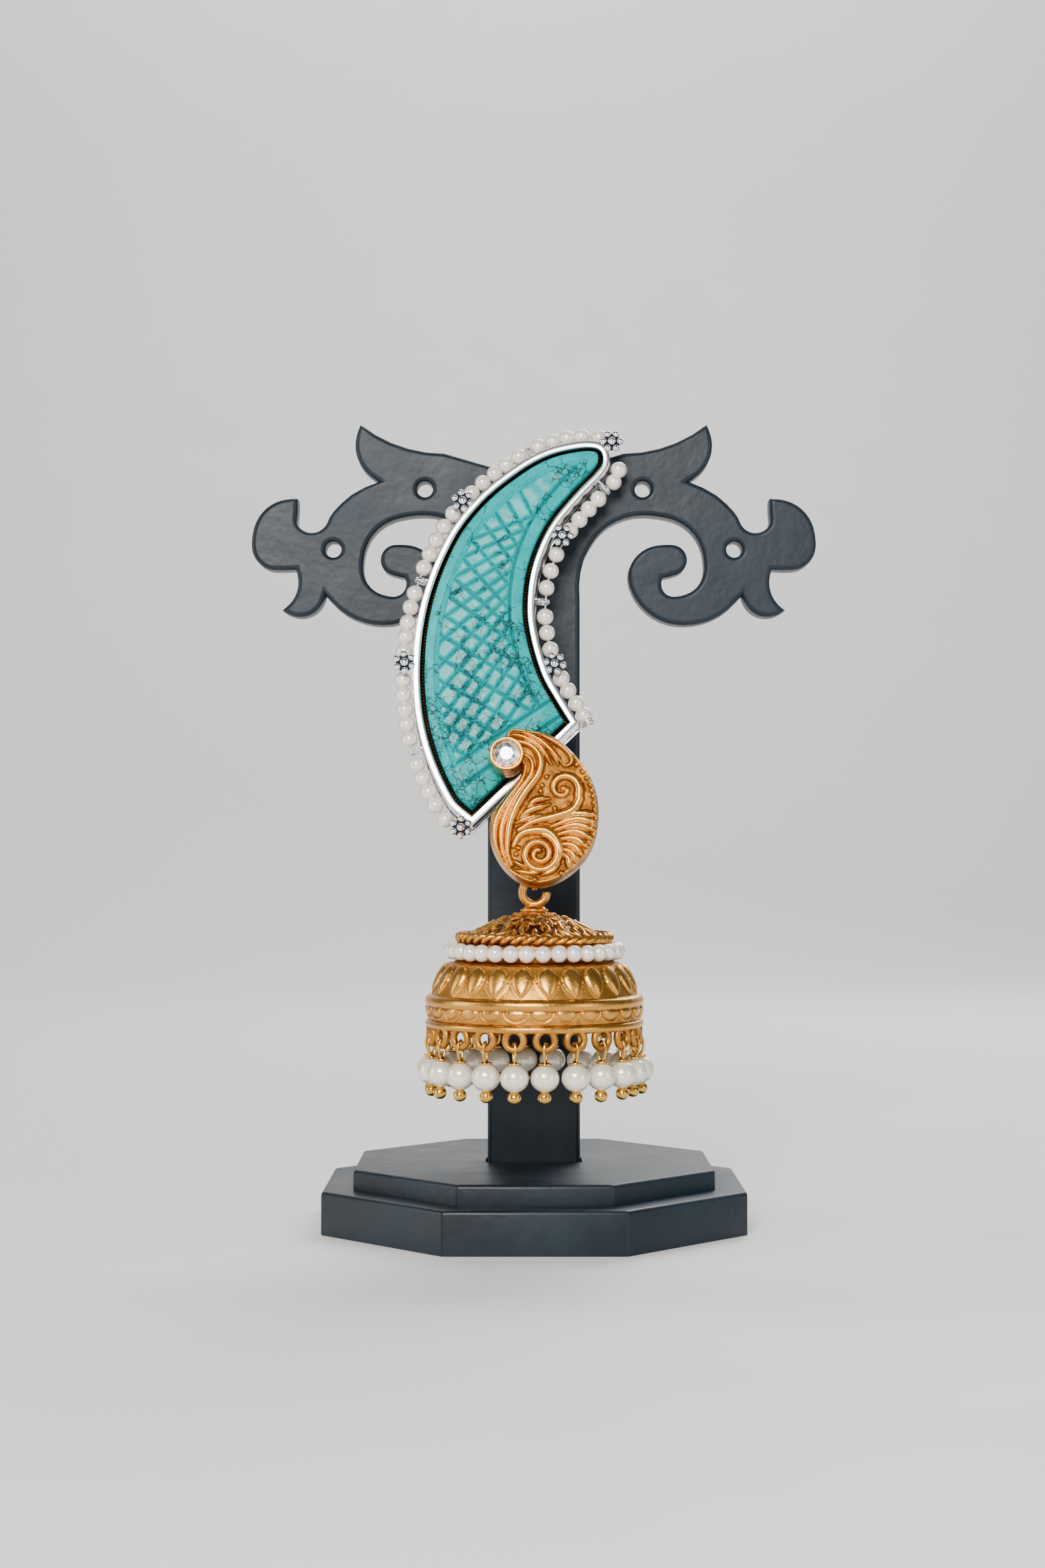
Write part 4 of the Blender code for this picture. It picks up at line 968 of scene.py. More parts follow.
def stand_upright(finish):
    """The flat plate with its scroll arms and pin holes, all its edges rounded."""
    right = arm_outline()
    left = [Vector((-point.x, point.y)) for point in reversed(right[1:])]
    outlines = [right + left]
    places = [(0, STUD_HEIGHT, PIN_HOLE / 2)]
    reach = (ARM_SPAN - POST_WIDE) / 2
    for across, down in HOLE_PLACES:
        x = POST_WIDE / 2 + across * reach
        places += [(side * x, STAND_TALL - down * ARM_TALL, SIDE_HOLE / 2) for side in (-1, 1)]
    angles = [2 * pi * i / HOLE_SIDES for i in range(HOLE_SIDES)]
    for x, z, radius in places:
        outlines.append([Vector((x + radius * cos(a), z + radius * sin(a))) for a in angles])
    curve = bpy.data.curves.new("upright_curve", 'CURVE')
    curve.dimensions = '2D'
    curve.fill_mode = 'BOTH'
    curve.extrude = PLATE / 2 - PLATE_ROUND
    curve.bevel_depth = PLATE_ROUND
    curve.bevel_resolution = 3
    curve.offset = -PLATE_ROUND
    for outline in outlines:
        spline = curve.splines.new('POLY')
        spline.points.add(len(outline) - 1)
        for target, point in zip(spline.points, outline):
            target.co = (point.x, point.y, 0, 1)
        spline.use_cyclic_u = True
    plate = settled(placed("upright_curve", curve))
    bmesh.ops.remove_doubles(plate, verts=plate.verts, dist=0.005 * MM)
    made = piece("stand_scroll_upright", plate, finish, TOP_BODY, "black_plastic", ("stand_upright",),
                 Matrix.Rotation(pi / 2, 4, 'X'), sharp=40)
    for polygon in made.data.polygons:
        polygon.use_smooth = abs(polygon.normal.y) < FLAT_FACE


# ---------------------------------------------------------------- bezel and its fittings
def horn_outline():
    points = [Vector((across * HORN_WIDE, up * HORN_TALL)) for across, up in HORN_EDGE]
    return smooth_line(points, EDGE_STEPS)


def horn_sides(grow):
    """The hollow and the outer side of the horn, each from the tip down."""
    outline = offset_outline(horn_outline(), grow)
    tip = HORN_TIP * EDGE_STEPS
    return outline[tip::-1], outline[tip:]


def outward(way, hollow_side):
    return Vector((-way.y, way.x)) if hollow_side else Vector((way.y, -way.x))


def clear_inset(line, depth):
    """The points of an inset line that keep their distance from the horn's edge."""
    gaps = loop_distance(as_array(line), horn_outline())
    return [point for point, gap in zip(line, gaps) if gap > depth * 0.985]


def bezel_tray(finish):
    """Back plate, wall and rounded rim, dark in the channel and bright on the rim. The channel's low
    heights give painted shade along with oxide.
    """
    outline = horn_outline()
    plate_top = STUD_GAP + BACK_PLATE
    rounding = [(RIM_ROUND * (1 - cos(a)), RIM_DEPTH - RIM_ROUND * (1 - sin(a)), 1.0)
                for a in (pi / 2 * i / 4 for i in range(5))]
    rows = [(FLANGE, STUD_GAP, 1.0), (FLANGE, STUD_GAP + BACK_PLATE * 0.8, 0.85), (0, plate_top, 0.3),
            (0, STUD_GAP + BACK_PLATE * 1.6, 0.62)]
    rows += [(-inset, depth, height) for inset, depth, height in rounding]
    rows.append((-RIM_WIDE / 2, RIM_DEPTH + RIM_ROUND / 4, 1.0))
    rows += [(-RIM_WIDE + inset, depth, height) for inset, depth, height in reversed(rounding)]
    rows += [(-RIM_WIDE, RIM_DEPTH - BEZEL_DEEP * 0.16, 0.12), (-RIM_WIDE, plate_top, 0.0)]
    points = []
    heights = []
    for grow, depth, height in rows:
        points += [front(p, depth) for p in offset_outline(outline, grow)]
        heights += [height] * len(outline)
    source = (points, grid_faces(len(rows), len(outline)), heights)
    top_piece("bezel_tray", source, finish, "oxidised_silver", "horn_bezel", sharp=50)


def bezel_beading(finish):
    """The milled wire that lies in the channel round the stone, painted all in the dark recess colour as
    shade.
    """
    line = offset_outline(horn_outline(), -RIM_WIDE - CHANNEL / 2)
    loop = line + line[:1]
    count = round(line_length(loop) / (MILLED_BEAD * 1.04))
    mesh = bmesh.new()
    for i in range(count):
        point, way = along(loop, i / count)
        ball(mesh, front(point, RIM_DEPTH - 1.5 * MM), MILLED_BEAD / 2, front(way, 0), 1.0, 8, 6)
    # Height zero paints the whole wire in the dark recess colour: painted shade of the channel.
    top_piece("bezel_beading", mesh, finish, "antique_gold", height=0.0)


def flower_button(mesh, point, turn):
    """Six balls round a larger one on a small disc."""
    disc_top = RIM_DEPTH - 0.35 * MM
    rim = [Vector((cos(2 * pi * i / 24), sin(2 * pi * i / 24))) * FLOWER_RING for i in range(24)]
    rows = ((0.9, RIM_DEPTH - 1.0 * MM), (1.0, RIM_DEPTH - 0.85 * MM), (1.0, disc_top), (0.9, disc_top))
    skin(mesh, [[front(point + spot * grow, depth) for spot in rim] for grow, depth in rows])
    for i in range(6):
        a = turn + 2 * pi * i / 6
        spot = point + Vector((cos(a), sin(a))) * FLOWER_RING
        ball(mesh, front(spot, disc_top + FLOWER_BALL * 0.16), FLOWER_BALL / 2, OUT, 0.92)
    ball(mesh, front(point, disc_top + FLOWER_HEART * 0.2), FLOWER_HEART / 2, OUT, 0.85)


def shade_by_depth(made, low, high):
    """Heights for the finish from how far a point stands out from the stand. The deeper points get the
    dark colour: painted shade along with oxide.
    """
    back = EARRING.inverted()
    depths = np.array([-(back @ vertex.co).y for vertex in made.data.vertices])
    values = np.clip((depths - low) / (high - low), 0, 1).astype(np.float32)
    made.data.attributes["height"].data.foreach_set("value", values)


def bezel_fittings(finish):
    """Flower buttons, the wire loops that hold the strings, and the ear pin."""
    sides = ((True, FLOWERS_HOLLOW_SIDE, LOOPS_HOLLOW_SIDE), (False, FLOWERS_OUTER_SIDE, LOOPS_OUTER_SIDE))
    edges = horn_sides(0)
    flowers = bmesh.new()
    loops = bmesh.new()
    for edge, (is_hollow, flower_shares, loop_shares) in zip(edges, sides):
        for share in flower_shares:
            point, way = along(edge, share)
            flower_button(flowers, point + outward(way, is_hollow) * FLOWER_OUT, share * 9)
        for share in loop_shares:
            point, way = along(edge, share)
            out = outward(way, is_hollow)
            centre = point + out * (STRING_AWAY - 0.35 * MM)
            for side in (-1, 1):
                place = front(centre + way * side * LOOP_WIRE * 0.52, STRING_DEPTH)
                tube(loops, circle(place, front(out, 0), OUT, LOOP_OUTSIDE, 28), LOOP_WIRE / 2, 8, True)
            bar = [front(point - out * 0.3 * MM, STRING_DEPTH + 1.6 * MM),
                   front(point + out * 0.5 * MM, STRING_DEPTH + 1.4 * MM),
                   front(centre + out * 0.2 * MM, STRING_DEPTH + LOOP_OUTSIDE)]
            tube(loops, bar, LOOP_WIRE * 0.62, 8)
    end, way = along(edges[0], 1.0)
    out = outward(way, True)
    thick = LOOP_WIRE * 0.6
    for lift in (0.0, 0.42):
        place = front(end + out * STRING_AWAY + way * (lift * MM), STRING_DEPTH)
        tube(loops, circle(place, front(out, 0), OUT, LOOP_OUTSIDE * 1.02, 28), thick, 8, True)
    stalk = [edges[0][-1] + out * 0.1 * MM, end + out * STRING_AWAY * 0.6]
    tube(loops, [front(point, STRING_DEPTH) for point in stalk], thick, 8)
    tail = PIN_TAIL + NUT_LONG + nut_front()
    pin = [Vector((0, y, 0)) for y in (-STUD_GAP - BACK_PLATE / 2, tail * 0.9, tail)]
    tube(loops, pin, PIN_WIDE / 2, 14, swell=lambda share: 0.7 if share == 1 else 1)
    made = top_piece("bezel_flowers", flowers, finish, "oxidised_silver")
    shade_by_depth(made, RIM_DEPTH - 0.45 * MM, RIM_DEPTH + 0.1 * MM)
    top_piece("bezel_loops_and_pin", loops, finish, "oxidised_silver", height=0.8)


def nut_front():
    """Distance along the pin from the stand's front to the nut."""
    return PLATE / cos(LEAN) + NUT_WIDE / 2 * tan(LEAN) + GAP


def ear_nut(finish):
    """Round nut with a rolled edge, a milled grip and a bore for the pin."""
    start = nut_front()
    bore = PIN_WIDE / 2 + GAP
    outer = NUT_WIDE / 2
    profile = ((bore, 0.2), (bore + 0.1 * MM, 0.04), (outer * 0.9, 0), (outer, 0.12), (outer, 0.3),
               (outer * 0.9, 0.36), (outer * 0.9, 0.86), (outer * 0.82, 1.0), (bore + 0.2 * MM, 1.0),
               (bore, 0.9))
    rings = []
    for radius, share in profile:
        ring = []
        for i in range(NUT_SIDES):
            grip = 1 - 0.035 * (i % 2) * (1 if 0.1 < share < 0.32 else 0)
            a = 2 * pi * i / NUT_SIDES
            ring.append(Vector((radius * grip * cos(a), start + share * NUT_LONG, radius * grip * sin(a))))
        rings.append(ring)
    mesh = bmesh.new()
    skin(mesh, rings, close=True)
    top_piece("ear_nut_round", mesh, finish, "oxidised_silver", "ear_nut", height=0.8, sharp=35)


def side_pearls(name, is_hollow, runs, node, pearl, wire):
    """Pearls threaded along one side of the bezel."""
    edge = horn_sides(0)[0 if is_hollow else 1]
    pearls = bmesh.new()
    threads = bmesh.new()
    route = []
    for first, last, count in runs:
        for i in range(count):
            point, way = along(edge, first + (last - first) * i / (count - 1))
            spot = front(point + outward(way, is_hollow) * STRING_AWAY, STRING_DEPTH)
            route.append(spot)
            size = SIDE_PEARL / 2 * random.uniform(1.02, 1.07)
            jog = Vector((random.uniform(-1, 1), random.uniform(-1, 1), random.uniform(-1, 1))) * 0.05 * MM
            axis = front(way, 0) + jog / (0.6 * MM)
            ball(pearls, spot + jog, size, axis, random.uniform(0.95, 1.0), 28, 18)
    tube(threads, route, THREAD / 2, 8)
    top_piece(name, pearls, pearl, "small_pearl", node)
    top_piece(name + "_wire", threads, wire, "oxidised_silver")


# ---------------------------------------------------------------- stone
def stone_lines():
    """The stone's outline, its two side grooves and the lattice's straight cuts."""
    outline = clear_inset(offset_outline(horn_outline(), -GIRDLE), GIRDLE)
    hollow = clear_inset(horn_sides(-GIRDLE - BAND_HOLLOW)[0], GIRDLE + BAND_HOLLOW)
    outer = clear_inset(horn_sides(-GIRDLE - BAND_OUTER)[1], GIRDLE + BAND_OUTER)
    cuts = []
    for knots, line, side in ((CUTS_FROM_OUTER, outer, 1), (CUTS_FROM_HOLLOW, hollow, -1)):
        length = line_length(line)
        numbers, starts, angles = zip(*knots)
        for i in range(numbers[-1] + 1):
            start = along(line, np.interp(i, numbers, starts) * MM / length)[0]
            a = radians(np.interp(i, numbers, angles))
            cuts.append((start, start + Vector((side * cos(a), -sin(a))) * CUT_LONG))
    return outline, hollow, outer, cuts


def groove(points, line, wide, deep):
    gap = distance(points, as_array(line))[0]
    return deep * np.clip(1 - gap / (wide / 2), 0, 1)


def turquoise_stone(finish):
    """The carved stone: a lowered border, grooves, and a lattice cut in the middle panel."""
    outline, hollow, outer, cuts = stone_lines()
    feet = [[Vector(end) * MM for end in ends] for ends in FOOT_GROOVES]
    foot_start, foot_end = feet[0]
    foot_way = (foot_end - foot_start).normalized()
    foot_side = Vector((-foot_way.y, foot_way.x))

    def face(points):
        edge = loop_distance(points, outline)
        above_foot = (points - np.array(foot_start)) @ np.array(foot_side)
        panel = inside(points, as_array(outer + hollow[::-1])) & (above_foot > 0)
        left = distance(points, as_array(outer))[0]
        right = distance(points, as_array(hollow))[0]
        cut = np.zeros(len(points))
        for line in (outer, hollow):
            side_cut = groove(points, line, GROOVE_WIDE, GROOVE_DEEP)
            cut = np.maximum(cut, np.where(above_foot > -0.15 * MM, side_cut, 0))
        for ends in feet:
            cut = np.maximum(cut, groove(points, ends, GROOVE_WIDE, GROOVE_DEEP))
        lattice = np.zeros(len(points))
        for ends in cuts:
            lattice = np.maximum(lattice, groove(points, ends, CUT_WIDE, CUT_DEEP))
        cut = np.maximum(cut, np.where(panel, lattice, 0))
        band = np.clip(1 - edge / (BAND_OUTER + GROOVE_WIDE / 2), 0, 1)
        crown = np.clip(np.minimum(left, right) / (6 * MM), 0, 1) * panel
        rounded = edge_drop(edge, STONE_EDGE)
        wobble = 0.02 * MM * np.sin(points[:, 0] * 1900) * np.sin(points[:, 1] * 1700)
        flat = RIM_DEPTH + STONE_PROUD - 0.12 * MM
        depth = flat + 0.1 * MM * crown - BAND_DROP * band - rounded - cut + wobble * panel
        # Height falls in the grooves and cuts, where the finish paints shade; the border's 0.82 keeps it
        # below the coat of the panel.
        height = np.where(panel, 1.0, 0.82) * np.clip(1 - cut / GROOVE_DEEP, 0, 1)
        # The groove along the outer side keeps a high height, so it is not painted darker like the other
        # cuts and takes some coat, to read as a lit bevel.
        return depth, np.where(left < GROOVE_WIDE * 0.28, 0.95, height)

    source = relief(outline, STONE_GRID, face, STUD_GAP + BACK_PLATE + GAP)
    top_piece("carved_turquoise", source, finish, "turquoise", "turquoise_stone", sharp=75)


# ---------------------------------------------------------------- paisley
def paisley_point(across, up):
    return Vector((across * PAISLEY_WIDE, PAISLEY_LOWEST + up * PAISLEY_TALL))


def paisley_line(spots, steps, closed=False):
    return smooth_line([paisley_point(*spot) for spot in spots], steps, closed)


def spiral(centre, begin, end, start, finish_angle, steps=60):
    """A flat spiral from one radius and angle to another."""
    line = []
    for i in range(steps + 1):
        t = i / steps
        a = start + (finish_angle - start) * t
        line.append(centre + Vector((cos(a), sin(a))) * (begin + (end - begin) * t))
    return line


def paisley_face(points):
    """Depths and heights of the cast front: ribs, a fan, two scrolls, beads and a rim."""
    edge = loop_distance(points, paisley_line(PAISLEY_OUTLINE, 8, True))
    raised = np.zeros(len(points))
    for wide, tall, spots in PAISLEY_RIBS:
        raised = ridge(raised, points, paisley_line(spots, 6), wide * 1.18 * MM, tall * 1.08 * MM)
    first, last = (paisley_point(*spot) for spot in FAN_ROOTS)
    for number, spot in enumerate(FAN_ENDS):
        root = first.lerp(last, number / (len(FAN_ENDS) - 1))
        end = paisley_point(*spot)
        way = end - root
        bow = root + way * 0.55 + Vector((-way.y, way.x)) * (0.10 + 0.018 * number)
        blade = smooth_line([root, bow, end], 8)
        raised = ridge(raised, points, blade, 1.3 * MM, 0.66 * MM, (0.3, 0.5, 0.75, 0.95, 1, 0.6))
    eye = paisley_point(*UPPER_SPIRAL)
    upper = spiral(eye, 0.62 * MM, 2.45 * MM, radians(-20), radians(-380)) + paisley_line(UPPER_TAIL, 6)
    raised = ridge(raised, points, upper, 1.55 * MM, 0.76 * MM, (0.5, 0.8, 1, 0.9, 0.4))
    knob = [eye, paisley_point(UPPER_SPIRAL[0] + 0.01, UPPER_SPIRAL[1])]
    raised = ridge(raised, points, knob, 0.95 * MM, 0.7 * MM, (1, 1))
    lower = spiral(paisley_point(*LOWER_SPIRAL), 0.5 * MM, 2.95 * MM, radians(-270), radians(440), 90)
    raised = ridge(raised, points, lower, 1.35 * MM, 0.78 * MM, (0.6, 0.75, 0.85, 0.95, 0.7))
    sweep = paisley_line(SCROLL_SWEEP, 6)
    raised = ridge(raised, points, sweep, 1.6 * MM, 0.8 * MM, (0.5, 0.85, 1, 0.9, 0.5))
    for spot in PAISLEY_BEADS:
        centre = paisley_point(*spot)
        gap = np.hypot(points[:, 0] - centre.x, points[:, 1] - centre.y)
        raised = np.maximum(raised, 0.62 * MM * bulge(gap / (PAISLEY_BEAD / 2)))
    rim = 0.30 * MM * np.clip(1 - np.abs(edge - 0.28 * MM) / (0.3 * MM), 0, 1)
    raised = np.maximum(raised, rim)
    sunk = 0.12 * MM * np.clip((edge - 0.5 * MM) / (0.5 * MM), 0, 1)
    pitted = noise_source.normal(0, 0.012 * MM, len(points)) * (raised < 0.1 * MM) * (edge > 0.2 * MM)
    depth = PAISLEY_FRONT - sunk + raised - edge_drop(edge, PAISLEY_EDGE) + pitted
    return np.minimum(depth, PAISLEY_FRONT + RIB_TALL), np.clip(0.12 + raised / (0.62 * MM), 0, 1)


def paisley(gold, foil, glass):
    """The cast paisley with its collet, the foil and the cut crystal in it, and the hook."""
    source = relief(paisley_line(PAISLEY_OUTLINE, 8, True), PAISLEY_GRID, paisley_face, PAISLEY_BACK)
    top_piece("paisley_cast", source, gold, "antique_gold", "paisley_mount", sharp=70)
    top = PAISLEY_FRONT + COLLET_PROUD
    outer = COLLET_WIDE / 2
    inner = outer - COLLET_WALL
    floor = top - CRYSTAL_DEEP
    seat = Matrix.Translation(front(paisley_point(*COLLET_PLACE), 0)) @ Matrix.Rotation(pi / 2, 4, 'X')
    collet = bmesh.new()
    lip = 0.14 * MM
    lathe(collet, ((outer * 0.6, PAISLEY_BACK), (outer, PAISLEY_BACK), (outer * 0.965, top - 1.2 * MM),
                   (outer * 0.965, top - 0.5 * MM), (outer, top - 0.42 * MM), (outer, top - lip),
                   (outer - lip, top), (inner + lip, top), (inner, top - lip), (inner, floor),
                   (inner * 0.5, floor - 0.1 * MM)), 72, seat)
    top_piece("paisley_collet", collet, gold, "antique_gold", height=0.85, sharp=45)
    back = bmesh.new()
    bowl = ((inner * 0.98, top - 0.62 * MM), (inner * 0.25, floor + 0.1 * MM), (0, floor + 0.06 * MM))
    lathe(back, bowl, 40, seat)
    top_piece("crystal_foil", back, foil, "crystal")
    gem = bmesh.new()
    gem_top = top + 0.05 * MM
    for count, share, below, turn in GEM_RINGS:
        radius = inner * 0.965 * share
        for a in (2 * pi * (i + turn) / count for i in range(count)):
            gem.verts.new(seat @ polar(radius, a, gem_top - below * MM))
    bmesh.ops.convex_hull(gem, input=gem.verts)
    stone = top_piece("crystal_brilliant", gem, glass, "crystal", "crystal_stone")
    stone.data.shade_flat()
    shades = stone.data.attributes.new("facet", 'FLOAT', 'FACE')
    # Stepped values per face give each facet its painted reflection brightness.
    shades.data.foreach_set("value", [(i * FACET_STEP) % 1 for i in range(len(stone.data.polygons))])
    hook = bmesh.new()
    ring = circle(Vector((0, -HOOK_DEPTH, HOOK_HEIGHT)), Vector((0, 1, 0)), UP, HOOK_RADIUS, 36)
    tube(hook, ring, HOOK_WIRE / 2, 14, True)
    top_piece("paisley_hook", hook, gold, "antique_gold", height=0.8)


# ---------------------------------------------------------------- bell
def bell_rows():
    """Outer rows of the bell from its collar to its hem: radius, height, region, place in it."""
    rows = []
    for i in range(64):
        share = 0.17 + 0.79 * i / 63
        rows.append((DOME_RADIUS * share, DOME_TOP - DOME_TALL * share ** DOME_POWER, "dome", share))
    ledge = RING_WIDE / 2 + ROPE_WIDE / 2 - SHOULDER_IN
    lip = 0.4 * MM
    plain = [(DOME_RADIUS, DOME_FOOT + ROPE_WIDE * 0.1), (DOME_RADIUS, DOME_FOOT - 0.6 * MM),
             (DOME_RADIUS, LEDGE_HEIGHT + 0.3 * MM), (DOME_RADIUS + 0.1 * MM, LEDGE_HEIGHT + 0.08 * MM),
             (ledge - lip * 1.6, LEDGE_HEIGHT)]
    plain += [(ledge - lip + lip * sin(a), LEDGE_HEIGHT - lip + lip * cos(a))
              for a in (0, pi / 8, pi / 4, pi * 3 / 8)]
    rows += [(radius, level, "plain", 0) for radius, level in plain]
    for i in range(46):
        share = 0.07 + 0.93 * i / 45
        radius = ledge + (SKIRT_WIDE / 2 - ledge) * share ** SKIRT_POWER
        rows.append((radius, LEDGE_HEIGHT - SKIRT_TALL * share, "skirt", share))
    reach = BAND_WIDE / 2 - BAND_BULGE
    for top, tall in ((SKIRT_FOOT, UPPER_BAND_TALL), (HEM_BAND_TOP, HEM_BAND_TALL)):
        if top == HEM_BAND_TOP:
            rows += [(reach + 0.3 * MM, FRIEZE_TOP - FRIEZE_HIGH * i / 20, "frieze", i / 20)
                     for i in range(21)]
        rows += [(reach + BAND_BULGE * sin(a), top - tall / 2 + tall / 2 * cos(a), "plain", 0)
                 for a in (pi * i / 13 for i in range(14))]
    return rows


def wall_rows():
    """Inner rows of the bell from its hem back up, one wall inside the outer ones."""
    return [
        (BAND_WIDE / 2 - BAND_BULGE - WALL, HEM - HEM_LOWER),
        (SKIRT_WIDE / 2 - WALL, SKIRT_FOOT),
        (RING_WIDE / 2 - WALL * 1.2, LEDGE_HEIGHT - WALL * 1.2),
        (DOME_RADIUS - WALL, LEDGE_HEIGHT),
        (DOME_RADIUS - WALL * 1.4, DOME_FOOT - WALL * 0.6),
        (DOME_RADIUS * 0.45, DOME_TOP - DOME_TALL * 0.34 - WALL),
        (DOME_RADIUS * 0.17, DOME_TOP - WALL * 1.6),
    ]


def dome_relief(angles, radius, share):
    """Cast leaves and scrolls on the dome, the same in each sector and mirrored in it."""
    sector = 2 * pi / DOME_UNITS
    local = np.abs((angles / sector + 0.5) % 1 - 0.5) * sector
    length = DOME_RADIUS * 1.05
    points = np.column_stack((local * radius, share * length))
    raised = np.zeros(len(points))
    for wide, tall, spots in DOME_RIBS:
        line = [Vector((across * sector / 2 * up * DOME_RADIUS, up * length)) for across, up in spots]
        raised = ridge(raised, points, smooth_line(line, 5), wide * 1.2 * MM, tall * 1.3 * MM)
    return raised


def teardrop():
    """Outline of a petal, round at the top and pointed at the foot."""
    half = PETAL_WIDE / 2
    top = half * 1.1
    line = [Vector((half * sin(a), -top + top * cos(a))) for a in (pi * i / 22 for i in range(12))]
    foot = Vector((0, -PETAL_TALL))
    side = Vector((half, -top))
    for t in (i / 10 for i in range(1, 11)):
        line.append(side.lerp(foot, t) + Vector((half * 0.26 * sin(pi * t), 0)))
    return line + [Vector((-p.x, p.y)) for p in reversed(line[1:-1])]


def petal_relief(angles, radius, share):
    """Pillowed petals round the skirt, each with a raised border."""
    sector = 2 * pi / PETALS
    local = ((angles / sector) % 1 - 0.5) * sector
    points = np.column_stack((local * radius, -share * SKIRT_TALL * 1.06 + 0.5 * MM))
    outline = as_array(teardrop())
    gap = loop_distance(points, outline)
    within = inside(points, outline)
    half = PETAL_WIDE / 2
    top = half * 1.1
    y = points[:, 1]
    taper = np.clip((-y - top) / (PETAL_TALL - top), 0, 1)
    reach = np.where(y > -top, bulge((y + top) / top), 1 - taper + 0.26 * np.sin(pi * taper)) + 0.001
    dome = PETAL_RAISE * (bulge(points[:, 0] / (half * reach)) * np.sqrt(reach)) * within
    border = 0.09 * MM * np.exp(-((gap - 0.2 * MM) / (0.1 * MM)) ** 2) * ~within
    groove_line = -0.07 * MM * np.exp(-(gap / (0.08 * MM)) ** 2)
    return dome + border + groove_line


def frieze_relief(angles, radius, share):
    """Half discs that hang from the upper band, each with a wave round it."""
    sector = 2 * pi / SCALLOPS
    local = ((angles / sector) % 1 - 0.5) * sector * radius
    reach = np.hypot(local / (SCALLOP_WIDE / 2), share * FRIEZE_HIGH / SCALLOP_TALL)
    disc = SCALLOP_RAISE * bulge(reach) ** 0.6
    wave = 0.17 * MM * np.exp(-((reach - 1.28) / 0.12) ** 2)
    return np.maximum(disc, wave)


# What makes each region's relief, the finish's height where it is flat, and the relief
# that counts as fully raised
REGIONS = {
    "dome": (dome_relief, 0.08, 0.36 * MM),
    "skirt": (petal_relief, 0.5, PETAL_RAISE),
    "frieze": (frieze_relief, 0.36, SCALLOP_RAISE),
}


def bell_shell(finish):
    """The dome, skirt, bands and frieze in one wall. The relief stands out square to it."""
    angles = 2 * pi * np.arange(BELL_COLUMNS) / BELL_COLUMNS
    rows = bell_rows()
    slope_r = np.gradient(np.array([row[0] for row in rows]))
    slope_z = np.gradient(np.array([row[1] for row in rows]))
    size = np.hypot(slope_r, slope_z)
    points = []
    heights = []
    for i, (radius, level, region, share) in enumerate(rows):
        shares = np.full(BELL_COLUMNS, share)
        if region in REGIONS:
            make, base, full = REGIONS[region]
            raised = make(angles, radius, shares)
            shown = base + raised / full
        else:
            raised = np.zeros(BELL_COLUMNS)
            # Plain rows behind the pearl ring get a low height, painted shade; the plain bands outside get
            # a high one, partly into the painted ridge highlight.
            shown = np.full(BELL_COLUMNS, 0.9 if radius > RING_WIDE / 2 else 0.3)
        raised = raised + noise_source.normal(0, 0.006 * MM, BELL_COLUMNS)
        reach = radius - slope_z[i] / size[i] * raised
        height = level + slope_r[i] / size[i] * raised
        points.append(np.column_stack((reach * np.cos(angles), reach * np.sin(angles), height)))
        heights.append(np.clip(shown, 0, 1))
    for radius, level in wall_rows():
        points.append(np.column_stack((radius * np.cos(angles), radius * np.sin(angles),
                                       np.full(BELL_COLUMNS, level))))
        # The inside of the bell gets a low height: painted shade.
        heights.append(np.full(BELL_COLUMNS, 0.3))
    source = (np.vstack(points), grid_faces(len(points), BELL_COLUMNS), np.concatenate(heights))
    bell_piece("bell_cast", source, finish, "antique_gold", "bell_dome", sharp=80)


def drop_ways(number):
    """Directions out from the bell's axis and round it, at one of the drops."""
    a = DROP_TURN + 2 * pi * (number + 0.5) / DROPS
    return polar(1, a), Vector((-sin(a), cos(a), 0))


def bell_fittings(finish):
    """Collar, open ring, rope and the loops under the rim."""
    top = bmesh.new()
    half = COLLAR_WIDE / 2
    profile = [(half * share, COLLAR_TOP + rise * MM) for share, rise in COLLAR_PROFILE]
    lathe(top, profile + [(half * 1.02, DOME_TOP - 0.9 * MM)], 48)
    bail = circle(UP * BAIL_CENTRE, ACROSS, UP, (BAIL_WIDE - BAIL_WIRE) / 2, 44, BAIL_OPENING,
                  2 * pi - BAIL_OPENING)
    tube(top, bail, BAIL_WIRE / 2, 18, swell=lambda share: 0.90 if share in (0, 1) else 1)
    bell_piece("bell_collar_and_ring", top, finish, "antique_gold", height=0.8, sharp=60)
    rope = bmesh.new()
    steps = ROPE_TURNS * 8
    for strand in range(2):
        line = []
        for a in (2 * pi * i / steps for i in range(steps)):
            twist = a * ROPE_TURNS / 2 + strand * pi
            reach = DOME_RADIUS + ROPE_THICK * 0.1 + ROPE_THICK * 0.3 * cos(twist)
            line.append(polar(reach, a, DOME_FOOT + ROPE_THICK * (0.62 + 0.3 * sin(twist))))
        tube(rope, line, ROPE_THICK * 0.33, 10, True)
    bell_piece("bell_rope", rope, finish, "antique_gold", height=0.72)
    loops = bmesh.new()
    for i in range(DROPS):
        out, side = drop_ways(i)
        place = out * DROP_CIRCLE / 2 + UP * RIM_LOOP_HEIGHT
        uneven = random.uniform(0.97, 1.03)
        tube(loops, circle(place, side * uneven, UP, RIM_LOOP_RADIUS, 28), RIM_LOOP_WIRE * 0.6, 14, True)
    # A low height paints the loops in the darker recess colour: painted shade under the hem.
    bell_piece("bell_rim_loops", loops, finish, "antique_gold", height=0.34)


